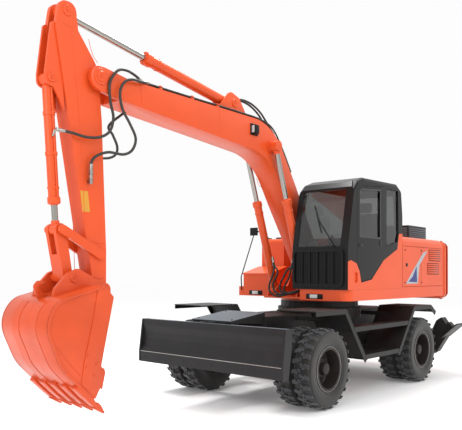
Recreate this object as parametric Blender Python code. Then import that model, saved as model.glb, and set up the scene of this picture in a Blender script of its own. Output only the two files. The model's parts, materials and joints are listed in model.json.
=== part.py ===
"""Wheeled excavator: a full-size machine built from separate pieces with real pivots.

Metres, +Z up. +X runs from the counterweight to the dozer blade, +Y is the driver's left.
Shapes are drawn about the slewing axis (x = 0 there) and the whole machine is moved at the end,
so that the origin lies on the ground under the middle of its overall length.
Run it with: blender --background --python part.py
"""

import math

import bmesh
import bpy
from mathutils import Matrix, Vector

# ---------------------------------------------------------------- driving dimensions
# running gear
TYRE_RADIUS = 0.518
TYRE_WIDTH = 0.250
TWIN_SPACING = 0.300
WHEEL_OUTER_Y = 1.245
RIM_FLANGE_RADIUS = 0.288
RIM_SEAT_RADIUS = 0.2615
WHEEL_SEGMENTS = 20
FRONT_AXLE_X = 1.683
REAR_AXLE_X = -1.112
KINGPIN_Y = 0.600
AXLE_TUBE_RADIUS = 0.100
DIFFERENTIAL_RADIUS = 0.190
STUB_RADIUS = 0.060

# chassis
CHASSIS_HALF_WIDTH = 0.380
CHASSIS_BOTTOM = 0.740
CHASSIS_BELLY = 0.560
CHASSIS_TOP = 1.140
CHASSIS_FRONT_X = 1.900
CHASSIS_REAR_X = -1.840
RING_RADIUS = 0.610
RING_BASE_TOP = 1.200
RING_TOP = 1.300
MACHINE_HALF_WIDTH = 1.240

# dozer blade
BLADE_FACE_X = 2.630
BLADE_TOP = 1.074
BLADE_BOTTOM = 0.488
BLADE_PIVOT = (1.950, 0.500)
BLADE_TRUNNION = (2.510, 0.775)
BLADE_CYLINDER_BASE = (1.965, 1.040)
BLADE_CYLINDER_EYE = (2.500, 0.620)
BLADE_EYE_WIDTH = 0.080
BLADE_ARM_Y = 0.300
BLADE_ARM_WIDTH = 0.068

# outriggers, drawn in the Y-Z plane for the left leg
LEG_PIVOT = (0.450, 0.500)
LEG_CYLINDER_BASE = (0.140, 0.980)
LEG_CYLINDER_EYE = (0.880, 0.590)
LEG_X = -2.000
LEG_THICKNESS = 0.170

# upper structure
DECK_BOTTOM = 1.352
DECK_SKIRT_TOP = 1.502
CAB_SIDE_DECK_FRONT = 1.227
TOOLBOX_SIDE_DECK_FRONT = 0.510
COUNTERWEIGHT_FRONT_X = -1.930
TAIL_RADIUS = 2.480
HOOD_FRONT_X = -0.390
HOOD_TOP = 2.300
HOOD_EDGE_RADIUS = 0.120
SHEET = 0.030

# cab
CAB_FRONT_X = 1.240
CAB_REAR_X = -0.380
CAB_INNER_Y = 0.350
CAB_ROOF = 3.070
CAB_SILL = 2.080
CAB_BROW = (1.070, 2.900)
CAB_WALL = 0.045

# working gear: pivots in the X-Z plane
BOOM_FOOT = (0.300, 1.800)
BOOM_TIP = (4.480, 3.765)
BOOM_CYLINDER_BASE = (0.820, 1.460)
BOOM_CYLINDER_EYE = (1.535, 3.490)
BOOM_CYLINDER_Y = 0.265
BOOM_CYLINDER_RADIUS = 0.060
BOOM_HALF_WIDTH = 0.180
BOOM_PLATE = 0.016
ARM_CYLINDER_BASE = (2.230, 3.970)
ARM_CYLINDER_EYE = (4.840, 4.370)
ARM_HALF_WIDTH = 0.100
ARM_PLATE = 0.014
ARM_BOSS_HALF_WIDTH = 0.135
ARM_BRACKET_Y = 0.075
ARM_EYE_WIDTH = 0.100
ARM_TO_BUCKET = (4.410, 1.500)
ROCKER_PIVOT = (4.410, 1.905)
ROCKER_END = (4.885, 2.150)
LINK_TO_BUCKET = (4.790, 1.665)
BUCKET_CYLINDER_BASE = (5.005, 3.650)
BUCKET_CYLINDER_EYE_WIDTH = 0.090
BUCKET_BARREL_RADIUS = 0.056
ROCKER_Y = 0.105
ROCKER_PIN_RADIUS = 0.030
LINK_HALF_WIDTH = 0.090
BUCKET_EAR_Y = 0.150
BUCKET_HALF_WIDTH = 0.420
BUCKET_PLATE = 0.022
TOOTH_COUNT = 5

# clearances
SEAT_GAP = 0.0003
SLIDE_GAP = 0.0005
MOVING_GAP = 0.006

# surface finishes: colour, roughness, metallic
PAINT = {
    "orange": ((0.80, 0.13, 0.035), 0.35, 0.0),
    "frame_grey": ((0.035, 0.035, 0.038), 0.5, 0.0),
    "cab_black": ((0.03, 0.03, 0.032), 0.4, 0.0),
    "tyre_rubber": ((0.03, 0.03, 0.03), 0.85, 0.0),
    "chrome": ((0.75, 0.75, 0.76), 0.15, 1.0),
    "steel": ((0.35, 0.35, 0.36), 0.4, 1.0),
    "glass": ((0.25, 0.28, 0.28), 0.05, 0.0),
    "seat_cloth": ((0.05, 0.05, 0.055), 0.8, 0.0),
}

AXLE_HEIGHT = TYRE_RADIUS * math.cos(math.pi / WHEEL_SEGMENTS)
LEFT, RIGHT = 1, -1


# ---------------------------------------------------------------- outlines
def arc(centre, radius, start, end, steps):
    """Points of an arc about centre, angles in degrees, counted from the first axis."""
    points = []
    for step in range(steps + 1):
        angle = math.radians(start + (end - start) * step / steps)
        points.append((centre[0] + radius * math.cos(angle), centre[1] + radius * math.sin(angle)))
    return points


def rounded(corners, steps=3):
    """Outline through corners (u, v, radius), each corner with a radius turned into an arc."""
    points = []
    count = len(corners)
    for index, corner in enumerate(corners):
        here = Vector(corner[:2])
        radius = corner[2] if len(corner) > 2 else 0.0
        if radius <= 0.0:
            points.append(tuple(here))
            continue
        before = (Vector(corners[index - 1][:2]) - here).normalized()
        after = (Vector(corners[(index + 1) % count][:2]) - here).normalized()
        half = before.angle(after) / 2.0
        reach = radius / math.tan(half)
        centre = here + (before + after).normalized() * (radius / math.sin(half))
        start = here + before * reach - centre
        turn = math.pi - 2.0 * half
        if before.cross(after) > 0.0:
            turn = -turn
        for step in range(steps + 1):
            spoke = Matrix.Rotation(turn * step / steps, 2) @ start
            points.append(tuple(centre + spoke))
    return points


def offset(points, distance, closed=False):
    """Line of points moved to the left of its travel by distance, with mitred corners."""
    shifted = []
    count = len(points)
    for index in range(count):
        here = Vector(points[index])
        before = Vector(points[index - 1]) if closed or index else None
        after = Vector(points[(index + 1) % count]) if closed or index < count - 1 else None
        into = (here - before).normalized() if before is not None else (after - here).normalized()
        out = (after - here).normalized() if after is not None else into
        left_in, left_out = Vector((-into.y, into.x)), Vector((-out.y, out.x))
        mitre = (left_in + left_out).normalized()
        shifted.append(tuple(here + mitre * (distance / mitre.dot(left_in))))
    return shifted


def shortened(points, cut):
    """Line of points with cut taken off both ends."""
    first, second = Vector(points[0]), Vector(points[1])
    last, before = Vector(points[-1]), Vector(points[-2])
    start = first + (second - first).normalized() * cut
    end = last + (before - last).normalized() * cut
    return [tuple(start)] + points[1:-1] + [tuple(end)]


def sheet(points, thickness, low, high):
    """Bent sheet across the machine that follows a line of points, thick to the left of its travel."""
    return prism(points + offset(points, thickness)[::-1], "y", low, high)


def turned_about(point, centre, degrees):
    """A point turned about centre, in the outline's own plane."""
    spoke = Vector((point[0] - centre[0], point[1] - centre[1]))
    spoke.rotate(Matrix.Rotation(math.radians(degrees), 2))
    return (centre[0] + spoke.x, centre[1] + spoke.y)


# ---------------------------------------------------------------- solids
def solid_from(mesh_data, label="shape"):
    """Object that holds a bmesh, which is freed."""
    bmesh.ops.recalc_face_normals(mesh_data, faces=mesh_data.faces)
    mesh = bpy.data.meshes.new(label)
    mesh_data.to_mesh(mesh)
    mesh_data.free()
    solid = bpy.data.objects.new(label, mesh)
    bpy.context.scene.collection.objects.link(solid)
    return solid


def prism(outline, axis, low, high):
    """Outline in the plane across axis, extruded from low to high along it."""
    mesh_data = bmesh.new()
    verts = []
    for u, v in outline:
        place = {"x": (low, u, v), "y": (u, low, v), "z": (u, v, low)}[axis]
        verts.append(mesh_data.verts.new(place))
    face = mesh_data.faces.new(verts)
    made = bmesh.ops.extrude_face_region(mesh_data, geom=[face])
    top = [item for item in made["geom"] if isinstance(item, bmesh.types.BMVert)]
    step = {"x": (high - low, 0, 0), "y": (0, high - low, 0), "z": (0, 0, high - low)}[axis]
    bmesh.ops.translate(mesh_data, verts=top, vec=step)
    return solid_from(mesh_data)


def box(low, high):
    """Rectangular block between two corners."""
    outline = [(low[0], low[1]), (high[0], low[1]), (high[0], high[1]), (low[0], high[1])]
    return prism(outline, "z", low[2], high[2])


def turned(profile, centre, axis, segments):
    """Closed profile of (radius, distance along axis) spun about the line through centre."""
    direction = {"x": Vector((1, 0, 0)), "y": Vector((0, 1, 0)), "z": Vector((0, 0, 1))}[axis]
    spoke = {"x": Vector((0, 0, -1)), "y": Vector((0, 0, -1)), "z": Vector((1, 0, 0))}[axis]
    # half a step, so that a flat and not an edge points down
    start = Matrix.Rotation(math.pi / segments, 3, direction) @ spoke
    mesh_data = bmesh.new()
    verts = [mesh_data.verts.new(Vector(centre) + start * r + direction * d) for r, d in profile]
    edges = [mesh_data.edges.new((verts[i - 1], verts[i])) for i in range(len(verts))]
    bmesh.ops.spin(
        mesh_data, geom=verts + edges, cent=centre, axis=direction,
        angle=2.0 * math.pi, steps=segments, use_merge=True,
    )
    bmesh.ops.remove_doubles(mesh_data, verts=mesh_data.verts, dist=0.00001)
    loose = [edge for edge in mesh_data.edges if not edge.link_faces]
    bmesh.ops.delete(mesh_data, geom=loose, context="EDGES")
    return solid_from(mesh_data)


def drum(centre, axis, radius, low, high, segments=12):
    """Round bar about the line through centre, from low to high along axis."""
    start = {"x": centre[0], "y": centre[1], "z": centre[2]}[axis]
    profile = [(0, low - start), (radius, low - start), (radius, high - start), (0, high - start)]
    return turned(profile, centre, axis, segments)


def pin(at, radius, low, high, segments=12):
    """Round bar across the machine at a pivot of the working gear."""
    return drum((at[0], 0.0, at[1]), "y", radius, low, high, segments)


def bar(start, end, radius, segments=12, bore=0.0):
    """Round bar or tube between two points in space; a tube is closed at its start."""
    start, end = Vector(start), Vector(end)
    along = end - start
    length = along.length
    profile = [(0, 0), (radius, 0), (radius, length)]
    if bore:
        wall = radius - bore
        profile += [(bore, length), (bore, wall), (0, wall)]
    else:
        profile += [(0, length)]
    solid = turned(profile, (0, 0, 0), "z", segments)
    turn = Vector((0, 0, 1)).rotation_difference(along).to_matrix().to_4x4()
    solid.data.transform(Matrix.Translation(start) @ turn)
    return solid


def settle(solid):
    """Replace the object's mesh by what its modifiers make of it, with doubled points welded."""
    graph = bpy.context.evaluated_depsgraph_get()
    mesh = bpy.data.meshes.new_from_object(solid.evaluated_get(graph))
    solid.modifiers.clear()
    mesh_data = bmesh.new()
    mesh_data.from_mesh(mesh)
    bmesh.ops.remove_doubles(mesh_data, verts=mesh_data.verts, dist=0.00002)
    mesh_data.to_mesh(mesh)
    mesh_data.free()
    old = solid.data
    solid.data = mesh
    bpy.data.meshes.remove(old)


def combine(solid, tool, operation):
    """One exact Boolean, after which the tool is gone."""
    modifier = solid.modifiers.new(operation, "BOOLEAN")
    modifier.object = tool
    modifier.operation = operation
    modifier.solver = "EXACT"
    bpy.context.view_layer.update()
    settle(solid)
    bpy.data.meshes.remove(tool.data)
    return solid


def fuse(solid, *tools):
    """Solid joined with each tool."""
    for tool in tools:
        combine(solid, tool, "UNION")
    return solid


def carve(solid, *tools):
    """Solid less each tool."""
    for tool in tools:
        combine(solid, tool, "DIFFERENCE")
    return solid


def mirrored(solid):
    """Copy of a solid on the machine's other side."""
    mesh_data = bmesh.new()
    mesh_data.from_mesh(solid.data)
    bmesh.ops.scale(mesh_data, vec=(1, -1, 1), verts=mesh_data.verts)
    return solid_from(mesh_data)


# ---------------------------------------------------------------- assembly
class Machine:
    """The empties that carry the moving bodies, and the materials."""

    def __init__(self):
        self.root = self.empty("machine", (0, 0, 0), None)
        self.bodies = {"chassis": self.root}
        self.finishes = {}

    @staticmethod
    def empty(name, place, parent):
        holder = bpy.data.objects.new(name, None)
        bpy.context.scene.collection.objects.link(holder)
        holder.empty_display_size = 0.2
        holder.parent = parent
        origin = Vector(parent["pivot"]) if parent else Vector((0, 0, 0))
        holder.location = Vector(place) - origin
        holder["pivot"] = place
        return holder

    def body(self, name, place, parent):
        """Empty on a joint's axis, that carries the pieces of one moving body."""
        self.bodies[name] = self.empty(name + "_pivot", place, self.bodies[parent])

    def finish(self, name):
        """Principled material of a named finish, made once."""
        if name not in self.finishes:
            colour, roughness, metallic = PAINT[name]
            material = bpy.data.materials.new(name)
            material.use_nodes = True
            shader = material.node_tree.nodes["Principled BSDF"]
            shader.inputs["Base Color"].default_value = (*colour, 1.0)
            shader.inputs["Roughness"].default_value = roughness
            shader.inputs["Metallic"].default_value = metallic
            material.diffuse_color = (*colour, 1.0)
            self.finishes[name] = material
        return self.finishes[name]

    def place(self, name, solid, body, finish):
        """Name a solid, colour it and hang it on its body."""
        solid.name = name
        solid.data.name = name
        solid.data.materials.clear()
        solid.data.materials.append(self.finish(finish))
        solid.data.set_sharp_from_angle(angle=math.radians(32))
        solid.parent = self.bodies[body]
        solid.location = -Vector(self.bodies[body]["pivot"])


def across(point, y=0.0):
    """Point of the X-Z plane set at a distance y from the machine's middle."""
    return (point[0], y, point[1])


# ---------------------------------------------------------------- wheels and axles
def tyre(side, axle_x, outer_y):
    """One tyre as a solid ring, its outer side at outer_y."""
    middle = side * (outer_y - TYRE_WIDTH / 2)
    half = TYRE_WIDTH / 2
    crown, bead = half - 0.030, half - 0.035
    seat = RIM_SEAT_RADIUS + 0.0008
    profile = [
        (seat, -bead), (0.330, -half + 0.012), (0.420, -half), (TYRE_RADIUS - 0.030, -half + 0.004),
        (TYRE_RADIUS, -crown), (TYRE_RADIUS, crown),
        (TYRE_RADIUS - 0.030, half - 0.004), (0.420, half), (0.330, half - 0.012), (seat, bead),
    ]
    return turned(profile, (axle_x, middle, AXLE_HEIGHT), "y", WHEEL_SEGMENTS)


def rim_pair(side, axle_x):
    """Both rims of a twin wheel with the disc, the spacer and the hub drum between them."""
    flange, seat = RIM_FLANGE_RADIUS, RIM_SEAT_RADIUS
    inner = seat - 0.016
    lip, bead = 0.012, 0.0245
    far = TYRE_WIDTH - bead
    second = TWIN_SPACING
    depths = [
        (inner, lip), (flange, lip), (flange, bead), (seat, bead),
        (seat, far), (flange, far), (flange, far + bead - lip), (inner, far + bead - lip),
        (inner, second + lip), (flange, second + lip), (flange, second + bead), (seat, second + bead),
        (seat, second + far), (flange, second + far), (flange, second + far + bead - lip),
        (inner, second + far + bead - lip), (inner, second + 0.040), (0.165, second + 0.040),
        (0.165, second + 0.180), (STUB_RADIUS + 0.002, second + 0.180),
        (STUB_RADIUS + 0.002, second + 0.080), (0.0, second + 0.080),
        (0.0, 0.080), (0.070, 0.080), (0.100, 0.110), (0.115, 0.215), (inner, 0.215),
    ]
    profile = [(radius, -side * depth) for radius, depth in depths]
    return turned(profile, (axle_x, side * WHEEL_OUTER_Y, AXLE_HEIGHT), "y", WHEEL_SEGMENTS)


def build_wheels(machine):
    """Four twin wheels; the front ones turn on the steering knuckles."""
    for end, axle_x in (("front", FRONT_AXLE_X), ("rear", REAR_AXLE_X)):
        for side, word in ((LEFT, "left"), (RIGHT, "right")):
            body = f"wheel_{end}_{word}"
            parent = f"knuckle_{word}" if end == "front" else "chassis"
            machine.body(body, (axle_x, side * WHEEL_OUTER_Y, AXLE_HEIGHT), parent)
            for row, inset in (("outer", 0.0), ("inner", TWIN_SPACING)):
                machine.place(f"tyre_{end}_{word}_{row}", tyre(side, axle_x, WHEEL_OUTER_Y - inset),
                              body, "tyre_rubber")
            machine.place(f"rims_{end}_{word}", rim_pair(side, axle_x), body, "frame_grey")


def hub_inner_y():
    """Distance from the middle to the inner end of a hub drum."""
    return WHEEL_OUTER_Y - TWIN_SPACING - 0.180


def build_axles(machine):
    """Axle housings, and the knuckles that steer the front wheels."""
    inner = hub_inner_y()
    fork = KINGPIN_Y - 0.075
    for end, axle_x in (("front", FRONT_AXLE_X), ("rear", REAR_AXLE_X)):
        reach = fork - MOVING_GAP if end == "front" else inner - SLIDE_GAP
        centre = (axle_x, 0.0, AXLE_HEIGHT)
        tube = drum(centre, "y", AXLE_TUBE_RADIUS, -reach, reach)
        bowl = turned(
            [(0, -0.13), (0.12, -0.13), (DIFFERENTIAL_RADIUS, -0.05), (DIFFERENTIAL_RADIUS, 0.05),
             (0.12, 0.13), (0, 0.13)], centre, "y", 12)
        seat = box((axle_x - 0.140, -0.160, AXLE_HEIGHT + 0.012),
                   (axle_x + 0.140, 0.160, CHASSIS_BOTTOM - SEAT_GAP))
        housing = fuse(tube, bowl, seat)
        if end == "front":
            for side in (LEFT, RIGHT):
                pad_low, pad_high = AXLE_HEIGHT - 0.155, AXLE_HEIGHT + 0.155
                # forked end that holds the kingpin above and below the knuckle
                near, outer = side * (fork - 0.060), side * (KINGPIN_Y + 0.045)
                cheek = box((axle_x - 0.070, min(near, outer), pad_low),
                            (axle_x + 0.070, max(near, outer), pad_high))
                gap = box((axle_x - 0.2, min(side * fork, side * 0.9), AXLE_HEIGHT - 0.105),
                          (axle_x + 0.2, max(side * fork, side * 0.9), AXLE_HEIGHT + 0.105))
                housing = fuse(housing, carve(cheek, gap))
        else:
            for side in (LEFT, RIGHT):
                low, high = sorted((side * (inner - 0.08), side * (inner + 0.090)))
                housing = fuse(housing, drum(centre, "y", STUB_RADIUS - 0.001, low, high))
        machine.place(f"{end}_axle", housing, "chassis", "frame_grey")
    for side, word in ((LEFT, "left"), (RIGHT, "right")):
        machine.body(f"knuckle_{word}", (FRONT_AXLE_X, side * KINGPIN_Y, AXLE_HEIGHT), "chassis")
        centre = (FRONT_AXLE_X, side * KINGPIN_Y, AXLE_HEIGHT)
        body = drum(centre, "z", 0.060, AXLE_HEIGHT - 0.105 + SLIDE_GAP, AXLE_HEIGHT + 0.105 - SLIDE_GAP)
        low, high = sorted((side * KINGPIN_Y, side * (inner - SLIDE_GAP)))
        spindle = drum(centre, "y", 0.085, low, high)
        low, high = sorted((side * KINGPIN_Y, side * (inner + 0.090)))
        stub = drum(centre, "y", STUB_RADIUS - 0.001, low, high)
        lever_y = side * (KINGPIN_Y + 0.040)
        lever = box((FRONT_AXLE_X - 0.260, min(lever_y - 0.025, lever_y + 0.025), AXLE_HEIGHT - 0.030),
                    (FRONT_AXLE_X, max(lever_y - 0.025, lever_y + 0.025), AXLE_HEIGHT + 0.010))
        machine.place(f"steering_knuckle_{word}", fuse(body, spindle, stub, lever),
                      f"knuckle_{word}", "frame_grey")


# ---------------------------------------------------------------- chassis
def stabiliser_box():
    """Two plates behind the frame with a web between them, that carry the outrigger legs."""
    plate = 0.030
    front_x, rear_x = LEG_X + LEG_THICKNESS / 2 + SLIDE_GAP, LEG_X - LEG_THICKNESS / 2 - SLIDE_GAP
    shape = rounded([
        (-0.560, 0.400, 0.05), (0.560, 0.400, 0.05), (0.560, 0.620), (0.300, 1.110, 0.05),
        (-0.300, 1.110, 0.05), (-0.560, 0.620)])
    return (prism(shape, "x", front_x, CHASSIS_REAR_X + 0.01),
            box((rear_x - 0.01, -0.045, 0.420), (front_x + 0.01, 0.045, 1.080)),
            prism(shape, "x", rear_x - plate, rear_x))


def build_chassis(machine):
    """Box frame with the turntable base, the blade brackets and the outrigger box."""
    half = CHASSIS_HALF_WIDTH
    clear = 0.260
    side_view = rounded([
        (CHASSIS_FRONT_X, CHASSIS_BOTTOM), (CHASSIS_FRONT_X, CHASSIS_TOP),
        (CHASSIS_REAR_X, CHASSIS_TOP), (CHASSIS_REAR_X, CHASSIS_BOTTOM),
        (REAR_AXLE_X + clear, CHASSIS_BOTTOM), (REAR_AXLE_X + clear + 0.12, CHASSIS_BELLY),
        (FRONT_AXLE_X - clear - 0.12, CHASSIS_BELLY), (FRONT_AXLE_X - clear, CHASSIS_BOTTOM),
    ])
    frame = prism(side_view, "y", -half, half)
    base = fuse(drum((0, 0, 0), "z", RING_RADIUS + 0.045, CHASSIS_TOP - 0.10, RING_BASE_TOP, 32),
                drum((0, 0, 0), "z", RING_RADIUS, RING_BASE_TOP - 0.05, RING_TOP, 32))
    pivot_x, pivot_z = BLADE_PIVOT
    base_x, base_z = BLADE_CYLINDER_BASE
    inner_cheek = BLADE_ARM_Y - BLADE_ARM_WIDTH / 2 - SLIDE_GAP - 0.030
    outer_cheek = BLADE_ARM_Y + BLADE_ARM_WIDTH / 2 + SLIDE_GAP
    for side in (LEFT, RIGHT):
        # cheeks that carry the blade's arms, on both sides of each arm
        for near in (inner_cheek, outer_cheek):
            low, high = sorted((side * near, side * (near + 0.030)))
            cheek = rounded([
                (CHASSIS_FRONT_X - 0.06, CHASSIS_BOTTOM + 0.05), (pivot_x - 0.075, pivot_z - 0.075, 0.07),
                (pivot_x + 0.075, pivot_z - 0.075, 0.07), (pivot_x + 0.075, CHASSIS_BOTTOM + 0.05),
            ])
            frame = fuse(frame, prism(cheek, "y", low, high))
        # ears of the blade cylinder, high on the frame's front
        near = BLADE_EYE_WIDTH / 2 + SLIDE_GAP
        low, high = sorted((side * near, side * (near + 0.025)))
        ear = rounded([
            (CHASSIS_FRONT_X - 0.05, base_z - 0.120), (base_x + 0.055, base_z - 0.055, 0.05),
            (base_x + 0.055, base_z + 0.055, 0.05), (CHASSIS_FRONT_X - 0.05, base_z + 0.080),
        ])
        frame = fuse(frame, prism(ear, "y", low, high))
    frame = fuse(frame, base)
    # cover over the blade's cylinders, a bent sheet with two cheeks
    cover = [(1.860, CHASSIS_TOP - 0.02), (1.860, 1.195), (2.560, 1.112), (2.560, 1.100),
             (1.885, 1.180), (1.885, CHASSIS_TOP - 0.02)]
    frame = fuse(frame, prism(cover, "y", -0.340, 0.340))
    for side in (LEFT, RIGHT):
        low, high = sorted((side * 0.318, side * 0.340))
        cheek = [(1.860, CHASSIS_TOP - 0.10), (1.860, 1.190), (2.540, 1.108), (2.540, 1.085)]
        frame = fuse(frame, prism(cheek, "y", low, high))
    machine.place("chassis_frame", fuse(frame, *stabiliser_box()), "chassis", "frame_grey")


def build_steps(machine):
    """Mudguards with the steps between them, each side welded into one piece."""
    outer, guard_inner = MACHINE_HALF_WIDTH, 0.640
    thick, lip = 0.014, 0.065
    front_guard_line = [(2.000, 1.254), (1.267, 1.254), (0.710, 0.537)]
    rear_guard_line = [(-0.241, 0.537), (-0.800, 1.218), (-1.445, 1.218), (-1.640, 1.100)]
    left = fuse(sheet(front_guard_line, thick, guard_inner, outer),
                sheet(rear_guard_line, thick, guard_inner, outer))
    # turned-down lips along the outer edge, a hair below the sheets' faces
    for line in (front_guard_line, rear_guard_line):
        left = fuse(left, sheet(offset(shortened(line, 0.003), 0.001), lip, outer - thick, outer - 0.001))
    # the lower rung joins both feet, the upper one spans between the slopes
    (top_x, top_z), (low_x, low_z) = front_guard_line[1:]
    (rear_low_x, _), (rear_top_x, rear_top_z) = rear_guard_line[:2]
    for rung_z in (low_z + 0.002, low_z + 0.400):
        share = (rung_z - low_z) / (top_z - low_z)
        front_x = low_x + (top_x - low_x) * share + 0.030
        rear_x = rear_low_x + (rear_top_x - rear_low_x) * (rung_z - low_z) / (rear_top_z - low_z) - 0.030
        left = fuse(left, box((rear_x, outer - 0.200, rung_z), (front_x, outer - 0.003, rung_z + 0.065)))
    # braces to the chassis
    inner = CHASSIS_HALF_WIDTH + SEAT_GAP
    for brace_x in (0.120, 0.420):
        left = fuse(left, box((brace_x, inner, 0.560), (brace_x + 0.070, outer - 0.150, 0.598)))
    left = fuse(left, box((1.120, inner, 1.060), (1.180, 0.900, 1.118)))
    left = fuse(left, box((-0.740, inner, 1.060), (-0.670, 0.900, 1.118)))
    machine.place("step_and_mudguards_right", mirrored(left), "chassis", "frame_grey")
    machine.place("step_and_mudguards_left", left, "chassis", "frame_grey")


# ---------------------------------------------------------------- dozer blade
def cylinder_barrel(base, eye, gland, radius, bore, y, width, base_radius):
    """Barrel of a cylinder in the X-Z plane: its base eye, a neck, and a tube as far as the gland."""
    start, end = Vector(across(base, y)), Vector(across(eye, y))
    along = (end - start).normalized()
    throat = base_radius + 0.010
    tube = bar(start + along * throat, start + along * gland, radius, 12, bore)
    neck = bar(start, start + along * (throat + 0.020), radius * 0.6, 12)
    return fuse(pin(base, base_radius, y - width / 2, y + width / 2), neck, tube)


def cylinder_rod(base, eye, tail, radius, y, width, eye_radius):
    """Rod whose tail stays in the barrel, with its eye as a round lug."""
    start, end = Vector(across(base, y)), Vector(across(eye, y))
    along = (end - start).normalized()
    rod = bar(start + along * tail, end, radius, 12)
    return fuse(pin(eye, eye_radius, y - width / 2, y + width / 2), rod)


def build_blade(machine):
    """Mouldboard on two lift arms, with a pair of lift cylinders."""
    arm_y, arm_half = BLADE_ARM_Y, BLADE_ARM_WIDTH / 2
    machine.body("blade_arms", across(BLADE_PIVOT), "chassis")
    machine.body("blade", across(BLADE_TRUNNION), "blade_arms")
    outline = rounded([
        (BLADE_PIVOT[0] - 0.055, BLADE_PIVOT[1] + 0.010, 0.04), (BLADE_PIVOT[0] + 0.010, BLADE_PIVOT[1] - 0.055, 0.04),
        (BLADE_TRUNNION[0] + 0.035, BLADE_TRUNNION[1] - 0.045, 0.04),
        (BLADE_TRUNNION[0] + 0.010, BLADE_TRUNNION[1] + 0.045, 0.04),
    ])
    arm = prism(outline, "y", arm_y - arm_half, arm_y + arm_half)
    arm = fuse(arm, pin(BLADE_PIVOT, 0.045, arm_y - arm_half, arm_y + arm_half))
    tie_x, tie_z = [(a + b) / 2 - 0.030 * k for a, b, k in zip(BLADE_PIVOT, BLADE_TRUNNION, (1, 0))]
    arms = fuse(mirrored(arm), arm, pin((tie_x, tie_z), 0.034, -arm_y, arm_y))
    machine.place("blade_arms", arms, "blade_arms", "frame_grey")

    face, back = BLADE_FACE_X, BLADE_FACE_X - 0.030
    edge_z = BLADE_BOTTOM + 0.145
    belly = 0.055
    front = [(face + 0.055, BLADE_BOTTOM), (face + 0.055, edge_z)]
    front += [(face + 0.030 - belly * math.sin(math.pi * step / 5) ** 0.8 * 0.8, edge_z + (BLADE_TOP - edge_z) * step / 5)
              for step in range(1, 5)]
    front += [(face, BLADE_TOP)]
    rear = [(back - 0.050, BLADE_TOP), (back - 0.050, BLADE_TOP - 0.060), (back - 0.020, BLADE_TOP - 0.120),
            (back - 0.020, edge_z + 0.06), (face + 0.025, edge_z), (face + 0.025, BLADE_BOTTOM)]
    width = MACHINE_HALF_WIDTH
    board = prism(front + rear, "y", -width + 0.024, width - 0.024)
    end_plate = rounded([
        (face + 0.060, BLADE_BOTTOM, 0.010), (face + 0.060, edge_z), (face + 0.004, BLADE_TOP),
        (back - 0.085, BLADE_TOP), (back - 0.085, BLADE_TOP - 0.20), (back - 0.020, BLADE_BOTTOM)])
    for side in (LEFT, RIGHT):
        low, high = sorted((side * (width - 0.025), side * width))
        board = fuse(board, prism(end_plate, "y", low, high))
        # clevis plates for the lift arms, and the lug of the lift cylinder
        for near in (arm_y - arm_half - SLIDE_GAP - 0.030, arm_y + arm_half + SLIDE_GAP):
            low, high = sorted((side * near, side * (near + 0.030)))
            ear = rounded([
                (back, BLADE_TRUNNION[1] + 0.11), (BLADE_TRUNNION[0] - 0.05, BLADE_TRUNNION[1] + 0.05, 0.04),
                (BLADE_TRUNNION[0] - 0.05, BLADE_TRUNNION[1] - 0.05, 0.04), (back, BLADE_TRUNNION[1] - 0.11)])
            board = fuse(board, prism(ear, "y", low, high))
        near = BLADE_EYE_WIDTH / 2 + SLIDE_GAP
        low, high = sorted((side * near, side * (near + 0.025)))
        lug = rounded([
            (back + 0.01, BLADE_CYLINDER_EYE[1] + 0.09), (BLADE_CYLINDER_EYE[0] - 0.045, BLADE_CYLINDER_EYE[1] + 0.045, 0.04),
            (BLADE_CYLINDER_EYE[0] - 0.045, BLADE_CYLINDER_EYE[1] - 0.045, 0.04), (back + 0.01, BLADE_CYLINDER_EYE[1] - 0.09)])
        board = fuse(board, prism(lug, "y", low, high))
    machine.place("dozer_blade", board, "blade", "frame_grey")

    machine.body("blade_barrel", across(BLADE_CYLINDER_BASE), "chassis")
    machine.body("blade_rod", across(BLADE_CYLINDER_EYE), "blade_barrel")
    barrel = cylinder_barrel(BLADE_CYLINDER_BASE, BLADE_CYLINDER_EYE, 0.600, 0.038, 0.0245,
                             0.0, BLADE_EYE_WIDTH, 0.045)
    rod = cylinder_rod(BLADE_CYLINDER_BASE, BLADE_CYLINDER_EYE, 0.100, 0.024,
                       0.0, BLADE_EYE_WIDTH, 0.036)
    machine.place("blade_cylinder_barrel", barrel, "blade_barrel", "frame_grey")
    machine.place("blade_cylinder_rod", rod, "blade_rod", "chrome")


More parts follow.
